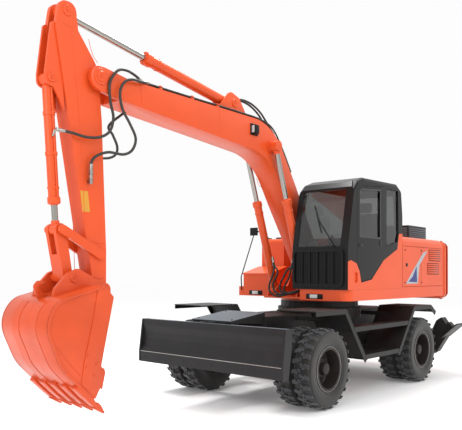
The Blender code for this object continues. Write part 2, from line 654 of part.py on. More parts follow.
# ---------------------------------------------------------------- outriggers
def build_outriggers(machine):
    """Rear stabiliser box, two claw legs with their feet, and their cylinders."""
    half = LEG_THICKNESS / 2
    pivot = LEG_PIVOT
    leg = rounded([
        (pivot[0] - 0.090, pivot[1] + 0.020, 0.07), (pivot[0] - 0.040, pivot[1] - 0.085, 0.07),
        (1.020, 0.330, 0.06), (1.140, 0.400, 0.05), (1.290, 0.650, 0.03), (1.310, 0.860, 0.02),
        (1.220, 0.990, 0.02), (1.130, 0.930, 0.02), (1.010, 0.680, 0.08), (pivot[0], pivot[1] + 0.100, 0.06)])
    low, high = LEG_X - half, LEG_X + half
    body = prism(leg, "x", low, high)
    eye_half = 0.048
    slot_half = eye_half + SLIDE_GAP
    slot = box((LEG_X - slot_half, 0.300, LEG_CYLINDER_EYE[1] - 0.055), (LEG_X + slot_half, 1.000, 0.900))
    body = carve(body, slot)
    foot_middle = (1.395, 0.765)
    foot = prism([turned_about(p, foot_middle, 42) for p in (
        (foot_middle[0] - 0.175, foot_middle[1]), (foot_middle[0] + 0.175, foot_middle[1]),
        (foot_middle[0] + 0.175, foot_middle[1] + 0.022), (foot_middle[0] - 0.175, foot_middle[1] + 0.022))],
        "x", LEG_X - 0.190, LEG_X + 0.190)
    block = prism([turned_about(p, foot_middle, 42) for p in (
        (foot_middle[0] - 0.060, foot_middle[1] + 0.010), (foot_middle[0] + 0.060, foot_middle[1] + 0.010),
        (foot_middle[0] + 0.050, foot_middle[1] + 0.150), (foot_middle[0] - 0.050, foot_middle[1] + 0.150))],
        "x", LEG_X - 0.070, LEG_X + 0.070)
    left = fuse(body, block, foot)
    right = mirrored(left)

    def ram(side, part):
        """Barrel or rod of one leg's cylinder, in the Y-Z plane."""
        base = Vector((LEG_X, side * LEG_CYLINDER_BASE[0], LEG_CYLINDER_BASE[1]))
        eye = Vector((LEG_X, side * LEG_CYLINDER_EYE[0], LEG_CYLINDER_EYE[1]))
        along = (eye - base).normalized()
        length = (eye - base).length
        if part == "barrel":
            tube = bar(base + along * 0.03, base + along * length * 0.74, 0.045, 12, 0.0285)
            return fuse(drum(base, "x", 0.050, LEG_X - half, LEG_X + half), tube)
        rod = bar(base + along * length * 0.25, eye, 0.028, 12)
        return fuse(drum(eye, "x", 0.042, LEG_X - eye_half, LEG_X + eye_half), rod)

    for side, word, solid in ((LEFT, "left", left), (RIGHT, "right", right)):
        machine.body(f"outrigger_{word}", (LEG_X, side * pivot[0], pivot[1]), "chassis")
        machine.place(f"outrigger_leg_{word}", solid, f"outrigger_{word}", "frame_grey")
        machine.body(f"outrigger_barrel_{word}",
                     (LEG_X, side * LEG_CYLINDER_BASE[0], LEG_CYLINDER_BASE[1]), "chassis")
        machine.body(f"outrigger_rod_{word}",
                     (LEG_X, side * LEG_CYLINDER_EYE[0], LEG_CYLINDER_EYE[1]), f"outrigger_barrel_{word}")
        machine.place(f"outrigger_barrel_{word}", ram(side, "barrel"), f"outrigger_barrel_{word}", "frame_grey")
        machine.place(f"outrigger_rod_{word}", ram(side, "rod"), f"outrigger_rod_{word}", "chrome")


# ---------------------------------------------------------------- upper structure
def soften(solid, chosen, width, segments=2):
    """Round the edges for which chosen(first, second) is true."""
    mesh_data = bmesh.new()
    mesh_data.from_mesh(solid.data)
    bpy.data.meshes.remove(solid.data)
    edges = [edge for edge in mesh_data.edges if chosen(edge.verts[0].co, edge.verts[1].co)]
    bmesh.ops.bevel(mesh_data, geom=edges, offset=width, segments=segments, profile=0.5, affect="EDGES",
                    clamp_overlap=True)
    return solid_from(mesh_data)


def build_deck(machine):
    """Turning platform: ring, floor plate, side beams, and the plates that carry the boom."""
    machine.body("upper", (0, 0, RING_TOP), "chassis")
    floor_top = DECK_BOTTOM + 0.028
    rear_x = COUNTERWEIGHT_FRONT_X + SEAT_GAP
    middle_front = BOOM_CYLINDER_BASE[0] + 0.180
    plan = [
        (rear_x, -1.160), (TOOLBOX_SIDE_DECK_FRONT, -1.160), (TOOLBOX_SIDE_DECK_FRONT, -0.500),
        (middle_front, -0.340), (middle_front, 0.470), (CAB_SIDE_DECK_FRONT - 0.050, 0.470),
        (CAB_SIDE_DECK_FRONT - 0.050, 1.160), (rear_x, 1.160)]
    deck = prism(plan, "z", DECK_BOTTOM, floor_top)
    ring = drum((0, 0, 0), "z", RING_RADIUS - 0.010, RING_TOP + SLIDE_GAP, DECK_BOTTOM + 0.010, 32)
    # side beams with the skirt that turns across under the cab
    left = rounded([
        (rear_x, 1.150), (CAB_SIDE_DECK_FRONT - 0.070, 1.150), (CAB_SIDE_DECK_FRONT - 0.070, 0.470),
        (CAB_SIDE_DECK_FRONT, 0.470), (CAB_SIDE_DECK_FRONT, MACHINE_HALF_WIDTH, 0.120),
        (rear_x, MACHINE_HALF_WIDTH)])
    right = box((rear_x, -MACHINE_HALF_WIDTH, DECK_BOTTOM),
                (TOOLBOX_SIDE_DECK_FRONT, -1.150, DECK_SKIRT_TOP))
    deck = fuse(deck, ring, prism(left, "z", DECK_BOTTOM, DECK_SKIRT_TOP), right)
    # upright plates: boom foot pivot behind, cylinder pivot in front
    foot_x, foot_z = BOOM_FOOT
    base_x, base_z = BOOM_CYLINDER_BASE
    upright = rounded([
        (foot_x - 0.620, floor_top - 0.010), (foot_x - 0.150, foot_z + 0.060, 0.12),
        (foot_x - 0.020, foot_z + 0.160, 0.10), (foot_x + 0.150, foot_z + 0.060, 0.12),
        (foot_x + 0.300, base_z + 0.060, 0.08), (base_x - 0.060, base_z + 0.068, 0.06),
        (base_x + 0.078, base_z + 0.068, 0.06), (base_x + 0.098, floor_top - 0.010)])
    plate = BOOM_CYLINDER_Y - BOOM_CYLINDER_RADIUS - SLIDE_GAP
    inner = BOOM_HALF_WIDTH + SLIDE_GAP
    lug = rounded([
        (base_x - 0.130, floor_top - 0.010), (base_x - 0.068, base_z + 0.068, 0.06),
        (base_x + 0.068, base_z + 0.068, 0.06), (base_x + 0.098, floor_top - 0.010)])
    outer = BOOM_CYLINDER_Y + BOOM_CYLINDER_RADIUS + SLIDE_GAP
    for side in (LEFT, RIGHT):
        low, high = sorted((side * inner, side * plate))
        deck = fuse(deck, prism(upright, "y", low, high))
        low, high = sorted((side * outer, side * (outer + 0.018)))
        deck = fuse(deck, prism(lug, "y", low, high))
    bulkhead = box((foot_x - 0.560, -inner - 0.010, floor_top - 0.010),
                   (foot_x - 0.530, inner + 0.010, floor_top + 0.060))
    machine.place("deck_frame", fuse(deck, bulkhead), "upper", "frame_grey")


def build_tail(machine):
    """Counterweight, engine and the covers around it."""
    half = MACHINE_HALF_WIDTH
    front = COUNTERWEIGHT_FRONT_X
    swing = math.degrees(math.asin(half / TAIL_RADIUS))
    plan = [(front, -half), (front, half)]
    plan += arc((0, 0), TAIL_RADIUS, 180 - swing, 180 + swing, 10)
    weight = prism(plan, "z", 1.300, HOOD_TOP - 0.015)
    top, low = HOOD_TOP - 0.015, 1.300
    weight = soften(weight, lambda a, b: abs(a.z - top) < 1e-4 and abs(b.z - top) < 1e-4
                    and (a.x < front - 0.01 or b.x < front - 0.01), 0.100, 3)
    weight = soften(weight, lambda a, b: abs(a.z - low) < 1e-4 and abs(b.z - low) < 1e-4
                    and (a.x < front - 0.01 or b.x < front - 0.01), 0.030, 1)
    machine.place("counterweight", weight, "upper", "orange")

    floor_top = DECK_BOTTOM + 0.028
    engine = fuse(box((-1.780, -0.360, floor_top + SEAT_GAP), (-1.060, 0.260, 2.000)),
                  box((-1.700, -0.200, 1.950), (-1.140, 0.100, 2.120)))
    machine.place("engine_block", engine, "upper", "frame_grey")

    rear = front + SEAT_GAP
    base = DECK_SKIRT_TOP + SEAT_GAP
    outside = rounded([(-half, base), (half, base), (half, HOOD_TOP, HOOD_EDGE_RADIUS),
                       (-half, HOOD_TOP, HOOD_EDGE_RADIUS)], 4)
    inside = rounded([
        (SHEET - half, base - 0.1), (half - SHEET, base - 0.1),
        (half - SHEET, HOOD_TOP - SHEET, HOOD_EDGE_RADIUS - SHEET),
        (SHEET - half, HOOD_TOP - SHEET, HOOD_EDGE_RADIUS - SHEET)], 4)
    hood = carve(prism(outside, "x", rear, HOOD_FRONT_X),
                 prism(inside, "x", rear + SHEET, HOOD_FRONT_X - SHEET))
    door_rear, door_front = rear + 0.030, HOOD_FRONT_X - 0.030
    door_low, door_high = base + 0.020, HOOD_TOP - HOOD_EDGE_RADIUS - 0.030
    for side in (LEFT, RIGHT):
        low, high = sorted((side * (half - 0.1), side * (half + 0.1)))
        hood = carve(hood, box((door_rear, low, door_low), (door_front, high, door_high)))
    machine.place("hood_cover", hood, "upper", "orange")
    for side, name, body in ((LEFT, "engine_door_left", "engine_door"), (RIGHT, "pump_door_right", "pump_door")):
        low, high = sorted((side * half, side * (half - SHEET)))
        machine.body(body, (door_front, side * half, (door_low + door_high) / 2), "upper")
        door = box((door_rear + MOVING_GAP, low, door_low + MOVING_GAP),
                   (door_front - SLIDE_GAP, high, door_high - MOVING_GAP))
        machine.place(name, door, body, "orange")
    grille = box((-2.350, 0.240, HOOD_TOP + SEAT_GAP), (-1.630, 0.760, 2.560))
    machine.place("intake_grille", grille, "upper", "cab_black")


def build_tanks(machine):
    """Fluid tank, tool box with its lid, and the mirror on the right side."""
    floor_top = DECK_BOTTOM + 0.028 + SEAT_GAP
    tank_front = 0.050
    profile = rounded([
        (HOOD_FRONT_X + SEAT_GAP, floor_top), (tank_front, floor_top), (tank_front, HOOD_TOP, 0.06),
        (HOOD_FRONT_X + SEAT_GAP, HOOD_TOP)])
    machine.place("fluid_tank", prism(profile, "y", -1.120, -0.660), "upper", "orange")
    back, front, wall = 0.085, TOOLBOX_SIDE_DECK_FRONT, 0.020
    low_y, high_y = -1.145, -0.580
    rear_top, front_top = 1.815, 1.700
    shell = prism([(back, floor_top), (front, floor_top), (front, front_top), (back, rear_top)],
                  "y", low_y, high_y)
    cavity = prism([(back + wall, floor_top + wall), (front - wall, floor_top + wall),
                    (front - wall, front_top + 0.1), (back + wall, rear_top + 0.1)],
                   "y", low_y + wall, high_y - wall)
    machine.place("toolbox", carve(shell, cavity), "upper", "orange")
    slope = (rear_top - front_top) / (front - back)
    machine.body("toolbox_lid", (back, (low_y + high_y) / 2, rear_top + SLIDE_GAP), "upper")
    lid_front = front + 0.012
    lid = [(back, rear_top + SLIDE_GAP), (lid_front, rear_top + SLIDE_GAP - slope * (lid_front - back)),
           (lid_front, rear_top + 0.022 - slope * (lid_front - back)), (back, rear_top + 0.022)]
    machine.place("toolbox_lid", prism(lid, "y", low_y - 0.010, high_y + 0.010), "toolbox_lid", "orange")
    stalk_base = Vector((-0.060, -1.060, HOOD_TOP + SEAT_GAP))
    knee = Vector((0.000, -1.130, 2.430))
    head = Vector((0.045, -1.300, 2.440))
    foot = box(stalk_base - Vector((0.040, 0.040, 0)), stalk_base + Vector((0.040, 0.040, 0.020)))
    mirror = fuse(foot, bar(stalk_base + Vector((0, 0, 0.010)), knee, 0.012, 8), bar(knee, head, 0.012, 8),
                  box((0.034, -1.375, 2.370), (0.062, -1.225, 2.505)))
    machine.place("side_mirror", mirror, "upper", "cab_black")


# ---------------------------------------------------------------- cab
def front_guard():
    """Frame and upright bars over the cab's lower front."""
    face = CAB_FRONT_X
    rim = rounded([(0.365, 1.545, 0.06), (1.180, 1.545, 0.06), (1.180, 2.050, 0.06), (0.365, 2.050, 0.06)])
    hole = rounded([(0.400, 1.580, 0.04), (1.145, 1.580, 0.04), (1.145, 2.015, 0.04), (0.400, 2.015, 0.04)])
    frame = carve(prism(rim, "x", face - 0.010, face + 0.030), prism(hole, "x", face - 0.1, face + 0.1))
    bars = []
    for index in range(1, 6):
        y = 0.400 + index * 0.745 / 6
        bars.append(box((face + 0.006, y - 0.006, 1.570), (face + 0.018, y + 0.006, 2.025)))
    return frame, *bars


def build_cab(machine):
    """Hollow cab with its side panel, door, panes, seat and console."""
    inner_y, outer_y, wall = CAB_INNER_Y, MACHINE_HALF_WIDTH, CAB_WALL
    base = DECK_SKIRT_TOP + SEAT_GAP
    side_view = [
        (CAB_REAR_X, base), (CAB_FRONT_X, base), (CAB_FRONT_X, CAB_SILL), CAB_BROW,
        (CAB_BROW[0] - 0.090, 2.985), (0.800, 3.050), (-0.200, CAB_ROOF), (-0.330, 3.000), (CAB_REAR_X, 2.600)]
    frame = prism(side_view, "y", inner_y, outer_y)
    frame = soften(frame, lambda a, b: a.z > 2.9 and b.z > 2.9 and abs(a.y - b.y) < 1e-4, 0.045, 2)
    room = offset(side_view, wall, closed=True)
    frame = carve(frame, prism(room, "y", inner_y + wall, outer_y - wall))
    # windscreen, rear, right and quarter openings
    screen_low, screen_high = CAB_SILL + 0.010, CAB_BROW[1] - 0.030
    pane = 0.006
    y_low, y_high = inner_y + 0.080, outer_y - 0.120
    frame = carve(frame, box((0.950, y_low, screen_low), (1.400, y_high, screen_high)))
    frame = carve(frame, box((CAB_REAR_X - 0.1, y_low, 2.360), (CAB_REAR_X + 0.2, y_high, 2.900)))
    side_pane = [(-0.230, 2.150), (1.060, 2.150), (0.940, 2.860), (0.800, 2.930), (-0.230, 2.930)]
    frame = carve(frame, prism(side_pane, "y", inner_y - 0.1, inner_y + 0.1))
    quarter = [(-0.250, 2.330), (-0.210, 2.200), (0.140, 2.120), (0.140, 2.960), (-0.230, 2.960)]
    frame = carve(frame, prism(quarter, "y", outer_y - 0.1, outer_y + 0.1))
    # door opening, and the painted panel that wraps its foot
    door = [(0.240, 2.980), (0.240, 1.920), (0.440, 1.770), (0.590, 1.650), (0.870, 1.610),
            (0.920, 1.770), (1.000, 1.860), (1.000, 2.850), (0.920, 2.920)]
    frame = carve(frame, prism(door, "y", outer_y - 0.1, outer_y + 0.1))
    panel = [(CAB_REAR_X + 0.001, base + 0.001), (CAB_FRONT_X - 0.001, base + 0.001), (CAB_FRONT_X - 0.001, 1.880),
             (1.160, 1.900), (1.000 + 0.012, 1.860), (0.920 + 0.013, 1.760), (0.870 + 0.012, 1.598),
             (0.590 - 0.004, 1.638), (0.440 - 0.008, 1.760), (0.240 - 0.012, 1.914), (-0.210, 2.090),
             (-0.265, 2.320), (CAB_REAR_X + 0.001, 2.330)]
    recess = 0.040
    cut = prism(offset(panel, -SEAT_GAP, closed=True), "y", outer_y - recess, outer_y + 0.1)
    frame = carve(frame, cut)
    machine.place("cab_frame", fuse(frame, *front_guard()), "upper", "cab_black")
    side = prism(panel, "y", outer_y - recess + SEAT_GAP, outer_y)
    slot = prism(rounded([(0.985, 1.600, 0.03), (1.075, 1.600, 0.03), (1.075, 1.740, 0.03),
                          (0.985, 1.740, 0.03)]), "y", outer_y - 0.020, outer_y + 0.1)
    machine.place("cab_side_panel", carve(side, slot), "upper", "orange")

    machine.body("cab_door", (door[0][0], outer_y, 2.400), "upper")
    leaf_outline = offset(door, MOVING_GAP, closed=True)
    leaf_outline = [(max(x, door[0][0] + SLIDE_GAP) if x > door[0][0] + 0.01 else door[0][0] + SLIDE_GAP, z)
                    for x, z in leaf_outline]
    leaf = prism(leaf_outline, "y", outer_y - wall, outer_y)
    window = rounded([(0.330, 2.230, 0.03), (0.925, 2.230, 0.03), (0.925, 2.830, 0.05),
                      (0.860, 2.875, 0.03), (0.330, 2.915, 0.03)])
    leaf = carve(leaf, prism(window, "y", outer_y - 0.1, outer_y + 0.1))
    machine.place("cab_door", leaf, "cab_door", "cab_black")
    pane_solid = prism(offset(window, SEAT_GAP, closed=True), "y", outer_y - 0.026, outer_y - 0.026 + pane)
    machine.place("cab_door_glass", pane_solid, "cab_door", "glass")

    floor = base + wall + SEAT_GAP
    middle = (inner_y + outer_y) / 2
    seat = fuse(
        box((0.080, middle - 0.180, floor), (0.420, middle + 0.180, 1.880)),
        soften(box((0.020, middle - 0.240, 1.860), (0.540, middle + 0.240, 1.990)), lambda a, b: True, 0.03),
        soften(box((-0.080, middle - 0.220, 1.940), (0.070, middle + 0.220, 2.620)), lambda a, b: True, 0.03))
    machine.place("driver_seat", seat, "upper", "seat_cloth")
    column = bar((0.860, middle, floor + 0.3), (0.700, middle, 2.130), 0.035, 10)
    pedestal = box((0.780, middle - 0.070, floor), (0.940, middle + 0.070, floor + 0.400))
    wheel = turned([(0.150, -0.012), (0.175, -0.012), (0.175, 0.012), (0.150, 0.012)], (0, 0, 0), "z", 16)
    hub = turned([(0, -0.010), (0.155, -0.006), (0.155, 0.006), (0, 0.010)], (0, 0, 0), "z", 16)
    wheel = fuse(wheel, hub)
    tilt = Vector((0, 0, 1)).rotation_difference(Vector((-0.160, 0, 0.430))).to_matrix().to_4x4()
    wheel.data.transform(Matrix.Translation((0.696, middle, 2.140)) @ tilt)
    machine.place("driver_console", fuse(pedestal, column, wheel), "upper", "cab_black")


# ---------------------------------------------------------------- working gear
def build_boom(machine):
    """Bent box boom with the bracket of the arm cylinder and the bosses of its own cylinders."""
    machine.body("boom", across(BOOM_FOOT), "upper")
    half = BOOM_HALF_WIDTH
    foot_x, foot_z = BOOM_FOOT
    tip_x, tip_z = BOOM_TIP
    outline = rounded([
        (foot_x - 0.115, foot_z - 0.110, 0.11), (foot_x + 0.095, foot_z - 0.125, 0.11),
        (0.790, 2.270), (1.120, 2.730), (1.545, 3.360, 0.85), (2.510, 3.440),
        (tip_x - 0.160, tip_z - 0.180), (tip_x + 0.115, tip_z - 0.120, 0.11),
        (tip_x + 0.115, tip_z + 0.112, 0.11), (tip_x - 0.060, tip_z + 0.110), (4.090, 3.825),
        (1.490, 3.825, 0.79), (0.930, 3.020), (foot_x - 0.118, foot_z + 0.060)], 4)
    boom = prism(outline, "y", -half, half)
    hollow = prism(offset(outline, BOOM_PLATE, closed=True), "y", BOOM_PLATE - half, half - BOOM_PLATE)
    slot_x = tip_x - 0.270
    kept = prism([(foot_x + 0.10, foot_z + 0.26), (slot_x - 0.050, foot_z + 0.26), (slot_x - 0.050, 4.2),
                  (foot_x + 0.10, 4.2)], "y", -0.5, 0.5)
    combine(hollow, kept, "INTERSECT")
    boom = carve(boom, hollow)
    # slot for the arm, with a port into the box section behind it
    slot_half = ARM_BOSS_HALF_WIDTH + SLIDE_GAP
    boom = carve(boom, box((slot_x, -slot_half, 3.0), (5.2, slot_half, 4.3)),
                 box((slot_x - 0.1, -0.080, 3.650), (slot_x + 0.1, 0.080, 3.750)))
    boss = BOOM_CYLINDER_Y - BOOM_CYLINDER_RADIUS - SLIDE_GAP
    for side in (LEFT, RIGHT):
        low, high = sorted((side * (half - 0.010), side * boss))
        boom = fuse(boom, pin(BOOM_CYLINDER_EYE, 0.095, low, high, 16))
        low, high = sorted((side * (half - 0.010), side * (half + 0.012)))
        boom = fuse(boom, pin(BOOM_TIP, 0.080, low, high, 16))
        low, high = sorted((side * ARM_BRACKET_Y, side * (ARM_BRACKET_Y + 0.026)))
        base_x, base_z = ARM_CYLINDER_BASE
        bracket = rounded([
            (base_x - 0.290, 3.810), (base_x - 0.100, base_z + 0.090, 0.10), (base_x + 0.090, base_z + 0.150, 0.10),
            (base_x + 0.360, 3.810)])
        boom = fuse(boom, prism(bracket, "y", low, high))
    machine.place("boom", boom, "boom", "orange")

    machine.body("boom_barrels", across(BOOM_CYLINDER_BASE), "upper")
    machine.body("boom_rods", across(BOOM_CYLINDER_EYE), "boom_barrels")
    width = 2 * BOOM_CYLINDER_RADIUS
    for side, word in ((LEFT, "left"), (RIGHT, "right")):
        y = side * BOOM_CYLINDER_Y
        barrel = cylinder_barrel(BOOM_CYLINDER_BASE, BOOM_CYLINDER_EYE, 1.390, BOOM_CYLINDER_RADIUS,
                                 0.0365, y, width, 0.062)
        rod = cylinder_rod(BOOM_CYLINDER_BASE, BOOM_CYLINDER_EYE, 0.780, 0.036, y, width, 0.075)
        machine.place(f"boom_cylinder_barrel_{word}", barrel, "boom_barrels", "orange")
        machine.place(f"boom_cylinder_rod_{word}", rod, "boom_rods", "chrome")


def build_arm(machine):
    """Tapered box arm with its cylinder and the bracket of the bucket cylinder."""
    machine.body("arm", across(BOOM_TIP), "boom")
    half = ARM_HALF_WIDTH
    end_x, end_z = ARM_TO_BUCKET
    eye_x, eye_z = ARM_CYLINDER_EYE
    outline = rounded([
        (end_x - 0.090, end_z - 0.090, 0.088), (end_x + 0.085, end_z - 0.090, 0.088),
        (end_x + 0.100, end_z + 0.200), (4.980, 4.170), (eye_x + 0.095, eye_z + 0.090, 0.09),
        (eye_x - 0.095, eye_z + 0.095, 0.09), (eye_x - 0.130, eye_z - 0.170), (4.460, 3.880, 0.30),
        (4.400, 3.330), (end_x - 0.085, end_z + 0.450)], 4)
    arm = prism(outline, "y", -half, half)
    hollow = prism(offset(outline, ARM_PLATE, closed=True), "y", ARM_PLATE - half, half - ARM_PLATE)
    kept = box((4.0, -0.5, end_z + 0.160), (5.2, 0.5, eye_z - 0.330))
    combine(hollow, kept, "INTERSECT")
    eye_half = ARM_EYE_WIDTH / 2 + SLIDE_GAP
    slot = prism([(eye_x - 0.5, eye_z - 0.300), (eye_x + 0.5, eye_z - 0.300), (eye_x + 0.5, eye_z + 0.3),
                  (eye_x - 0.5, eye_z + 0.3)], "y", -eye_half, eye_half)
    port = box((eye_x - 0.020, -0.030, eye_z - 0.400), (eye_x + 0.040, 0.030, eye_z - 0.2))
    arm = carve(arm, hollow, slot, port)
    # bosses at the pivots, and the plates that hold the bucket cylinder
    arm = fuse(arm, pin(BOOM_TIP, 0.105, -ARM_BOSS_HALF_WIDTH, ARM_BOSS_HALF_WIDTH, 16),
               pin(ARM_TO_BUCKET, 0.070, -BUCKET_EAR_Y + SLIDE_GAP, BUCKET_EAR_Y - SLIDE_GAP, 16),
               pin(ROCKER_PIVOT, 0.055, -ROCKER_Y + SLIDE_GAP, ROCKER_Y - SLIDE_GAP, 12))
    arm = carve(arm, pin(ROCKER_PIVOT, ROCKER_PIN_RADIUS + 0.0012, -0.3, 0.3, 16))
    base_x, base_z = BUCKET_CYLINDER_BASE
    for side in (LEFT, RIGHT):
        near = BUCKET_BARREL_RADIUS + 0.001 + SLIDE_GAP
        low, high = sorted((side * near, side * (near + 0.026)))
        bracket = rounded([
            (4.850, 3.350), (base_x - 0.020, base_z - 0.085, 0.06), (base_x + 0.070, base_z - 0.070, 0.06),
            (base_x + 0.075, base_z + 0.040, 0.06), (base_x + 0.010, base_z + 0.580, 0.03), (4.930, 4.190),
            (4.900, 3.900)])
        arm = fuse(arm, prism(bracket, "y", low, high))
    machine.place("arm", arm, "arm", "orange")

    machine.body("arm_barrel", across(ARM_CYLINDER_BASE), "boom")
    machine.body("arm_rod", across(ARM_CYLINDER_EYE), "arm_barrel")
    barrel = cylinder_barrel(ARM_CYLINDER_BASE, ARM_CYLINDER_EYE, 1.530, 0.070, 0.0385,
                             0.0, 2 * (ARM_BRACKET_Y - SLIDE_GAP), 0.078)
    rod = cylinder_rod(ARM_CYLINDER_BASE, ARM_CYLINDER_EYE, 1.120, 0.038, 0.0, ARM_EYE_WIDTH, 0.075)
    machine.place("arm_cylinder_barrel", barrel, "arm_barrel", "orange")
    machine.place("arm_cylinder_rod", rod, "arm_rod", "chrome")


def bucket_back():
    """Outer line of the bucket's wrapper, from the top of the mouth round the back to the lip."""
    return rounded([
        (4.580, 1.588), (5.105, 1.460, 0.08), (5.275, 1.240, 0.18), (5.075, 0.800, 0.50),
        (4.785, 0.450, 0.35), (4.640, 0.375)], 3)


def build_bucket(machine):
    """Digging bucket with its ears and teeth, and the linkage that curls it."""
    machine.body("bucket", across(ARM_TO_BUCKET), "arm")
    half, plate = BUCKET_HALF_WIDTH, BUCKET_PLATE
    back = bucket_back()
    side_view = [(4.465, 1.470)] + back + [(4.600, 0.420), (4.545, 0.610), (4.625, 0.800)]
    bucket = prism(side_view, "y", -half, half)
    inner = offset(back, -plate)
    cavity = [(4.100, inner[0][1])] + inner + [(4.100, inner[-1][1] - 0.05)]
    bucket = carve(bucket, prism(cavity, "y", plate - half, half - plate))
    pivot_x, pivot_z = ARM_TO_BUCKET
    link_x, link_z = LINK_TO_BUCKET
    ear = rounded([
        (pivot_x - 0.080, pivot_z - 0.080, 0.07), (pivot_x + 0.080, pivot_z - 0.085, 0.03),
        (4.620, 1.500), (5.040, 1.430), (5.010, 1.560, 0.02), (link_x + 0.070, link_z + 0.050, 0.05),
        (link_x - 0.050, link_z + 0.095, 0.06), (pivot_x + 0.120, pivot_z + 0.160),
        (pivot_x - 0.080, pivot_z + 0.090, 0.07)])
    for side in (LEFT, RIGHT):
        low, high = sorted((side * BUCKET_EAR_Y, side * (BUCKET_EAR_Y + 0.040)))
        bucket = fuse(bucket, prism(ear, "y", low, high))
    bucket = carve(bucket, pin(ARM_TO_BUCKET, 0.165, -BUCKET_EAR_Y + SLIDE_GAP, BUCKET_EAR_Y - SLIDE_GAP, 24))
    # lip, teeth and side cutters
    lip = prism([(4.640, 0.375), (4.760, 0.437), (4.740, 0.475), (4.612, 0.412)], "y", -half, half)
    bucket = fuse(bucket, lip)
    tooth = [(4.720, 0.395), (4.560, 0.305), (4.545, 0.318), (4.590, 0.410), (4.700, 0.470)]
    tooth_half = 0.036
    pitch = 2 * (half - tooth_half) / (TOOTH_COUNT - 1)
    for index in range(TOOTH_COUNT):
        y = -half + tooth_half + index * pitch
        # end teeth stay a little inside the side plates' outer faces
        y = max(-half + tooth_half + 0.002, min(half - tooth_half - 0.002, y))
        bucket = fuse(bucket, prism(tooth, "y", y - tooth_half, y + tooth_half))
    hook = rounded([(5.060, 1.450), (5.160, 1.420), (5.160, 1.600, 0.03), (5.080, 1.600, 0.03)])
    bucket = fuse(bucket, prism(hook, "y", -0.025, 0.025))
    machine.place("bucket", bucket, "bucket", "orange")

    machine.body("rocker", across(ROCKER_PIVOT), "arm")
    lean = math.degrees(math.atan2(ROCKER_END[1] - ROCKER_PIVOT[1], ROCKER_END[0] - ROCKER_PIVOT[0]))
    strap = arc(ROCKER_PIVOT, 0.050, lean + 90, lean + 270, 6) + arc(ROCKER_END, 0.046, lean - 90, lean + 90, 6)
    rocker = prism(strap, "y", ROCKER_Y, ROCKER_Y + 0.030)
    axle = pin(ROCKER_PIVOT, ROCKER_PIN_RADIUS, -ROCKER_Y - 0.010, ROCKER_Y + 0.010, 16)
    machine.place("rocker_links", fuse(mirrored(rocker), axle, rocker), "rocker", "orange")

    machine.body("bucket_link", across(LINK_TO_BUCKET), "bucket")
    lean = math.degrees(math.atan2(ROCKER_END[1] - link_z, ROCKER_END[0] - link_x))
    strap = arc(LINK_TO_BUCKET, 0.055, lean + 90, lean + 270, 6) + arc(ROCKER_END, 0.062, lean - 90, lean + 90, 6)
    eye_half = BUCKET_CYLINDER_EYE_WIDTH / 2 + SLIDE_GAP
    link = prism(strap, "y", -LINK_HALF_WIDTH, LINK_HALF_WIDTH)
    end_x, end_z = ROCKER_END
    along = Vector((end_x - link_x, end_z - link_z)).normalized()
    side_step = Vector((-along.y, along.x)) * 0.12
    near = Vector((link_x, link_z)) + along * 0.250
    far = Vector((link_x, link_z)) + along * 0.700
    gap = [tuple(near + side_step), tuple(near - side_step), tuple(far - side_step), tuple(far + side_step)]
    link = carve(link, prism(gap, "y", -eye_half, eye_half))
    link = fuse(link, pin(LINK_TO_BUCKET, 0.050, -BUCKET_EAR_Y + SLIDE_GAP, BUCKET_EAR_Y - SLIDE_GAP))
    machine.place("bucket_link", link, "bucket_link", "orange")

    machine.body("bucket_barrel", across(BUCKET_CYLINDER_BASE), "arm")
    machine.body("bucket_rod", across(ROCKER_END), "bucket_barrel")
    barrel = cylinder_barrel(BUCKET_CYLINDER_BASE, ROCKER_END, 1.270, BUCKET_BARREL_RADIUS, 0.0335,
                             0.0, 2 * BUCKET_BARREL_RADIUS + 0.002, 0.064)
    rod = cylinder_rod(BUCKET_CYLINDER_BASE, ROCKER_END, 0.300, 0.033, 0.0, BUCKET_CYLINDER_EYE_WIDTH, 0.055)
    machine.place("bucket_cylinder_barrel", barrel, "bucket_barrel", "orange")
    machine.place("bucket_cylinder_rod", rod, "bucket_rod", "chrome")


# ---------------------------------------------------------------- whole machine
def centre_on_origin(machine):
    """Move the whole machine so that the middle of its box stands over the origin."""
    bpy.context.view_layer.update()
    corners = []
    for thing in bpy.data.objects:
        if thing.type == "MESH":
            corners += [thing.matrix_world @ vert.co for vert in thing.data.vertices]
    middle = [(min(c[k] for c in corners) + max(c[k] for c in corners)) / 2 for k in (0, 1)]
    machine.root.location = (-middle[0], -middle[1], -min(c.z for c in corners))
    bpy.context.view_layer.update()


def main():
    """Clear the scene and build the excavator."""
    for thing in list(bpy.data.objects):
        bpy.data.objects.remove(thing, do_unlink=True)
    machine = Machine()
    build_chassis(machine)
    build_steps(machine)
    build_axles(machine)
    build_wheels(machine)
    build_blade(machine)
    build_outriggers(machine)
    build_deck(machine)
    build_tail(machine)
    build_tanks(machine)
    build_cab(machine)
    build_boom(machine)
    build_arm(machine)
    build_bucket(machine)
    centre_on_origin(machine)
    return machine


main()
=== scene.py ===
"""Looks of the wheeled excavator: finishes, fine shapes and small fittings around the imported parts.

Positions are metres counted from the slewing axis on the ground, +X towards the dozer blade,
+Y to the driver's left and +Z up; each finished piece is then moved into the frame of the parts.
"""

import json
import logging
import math
from dataclasses import dataclass, field
from enum import Enum
from typing import Iterable, Sequence

import bpy
from mathutils import Matrix, Vector


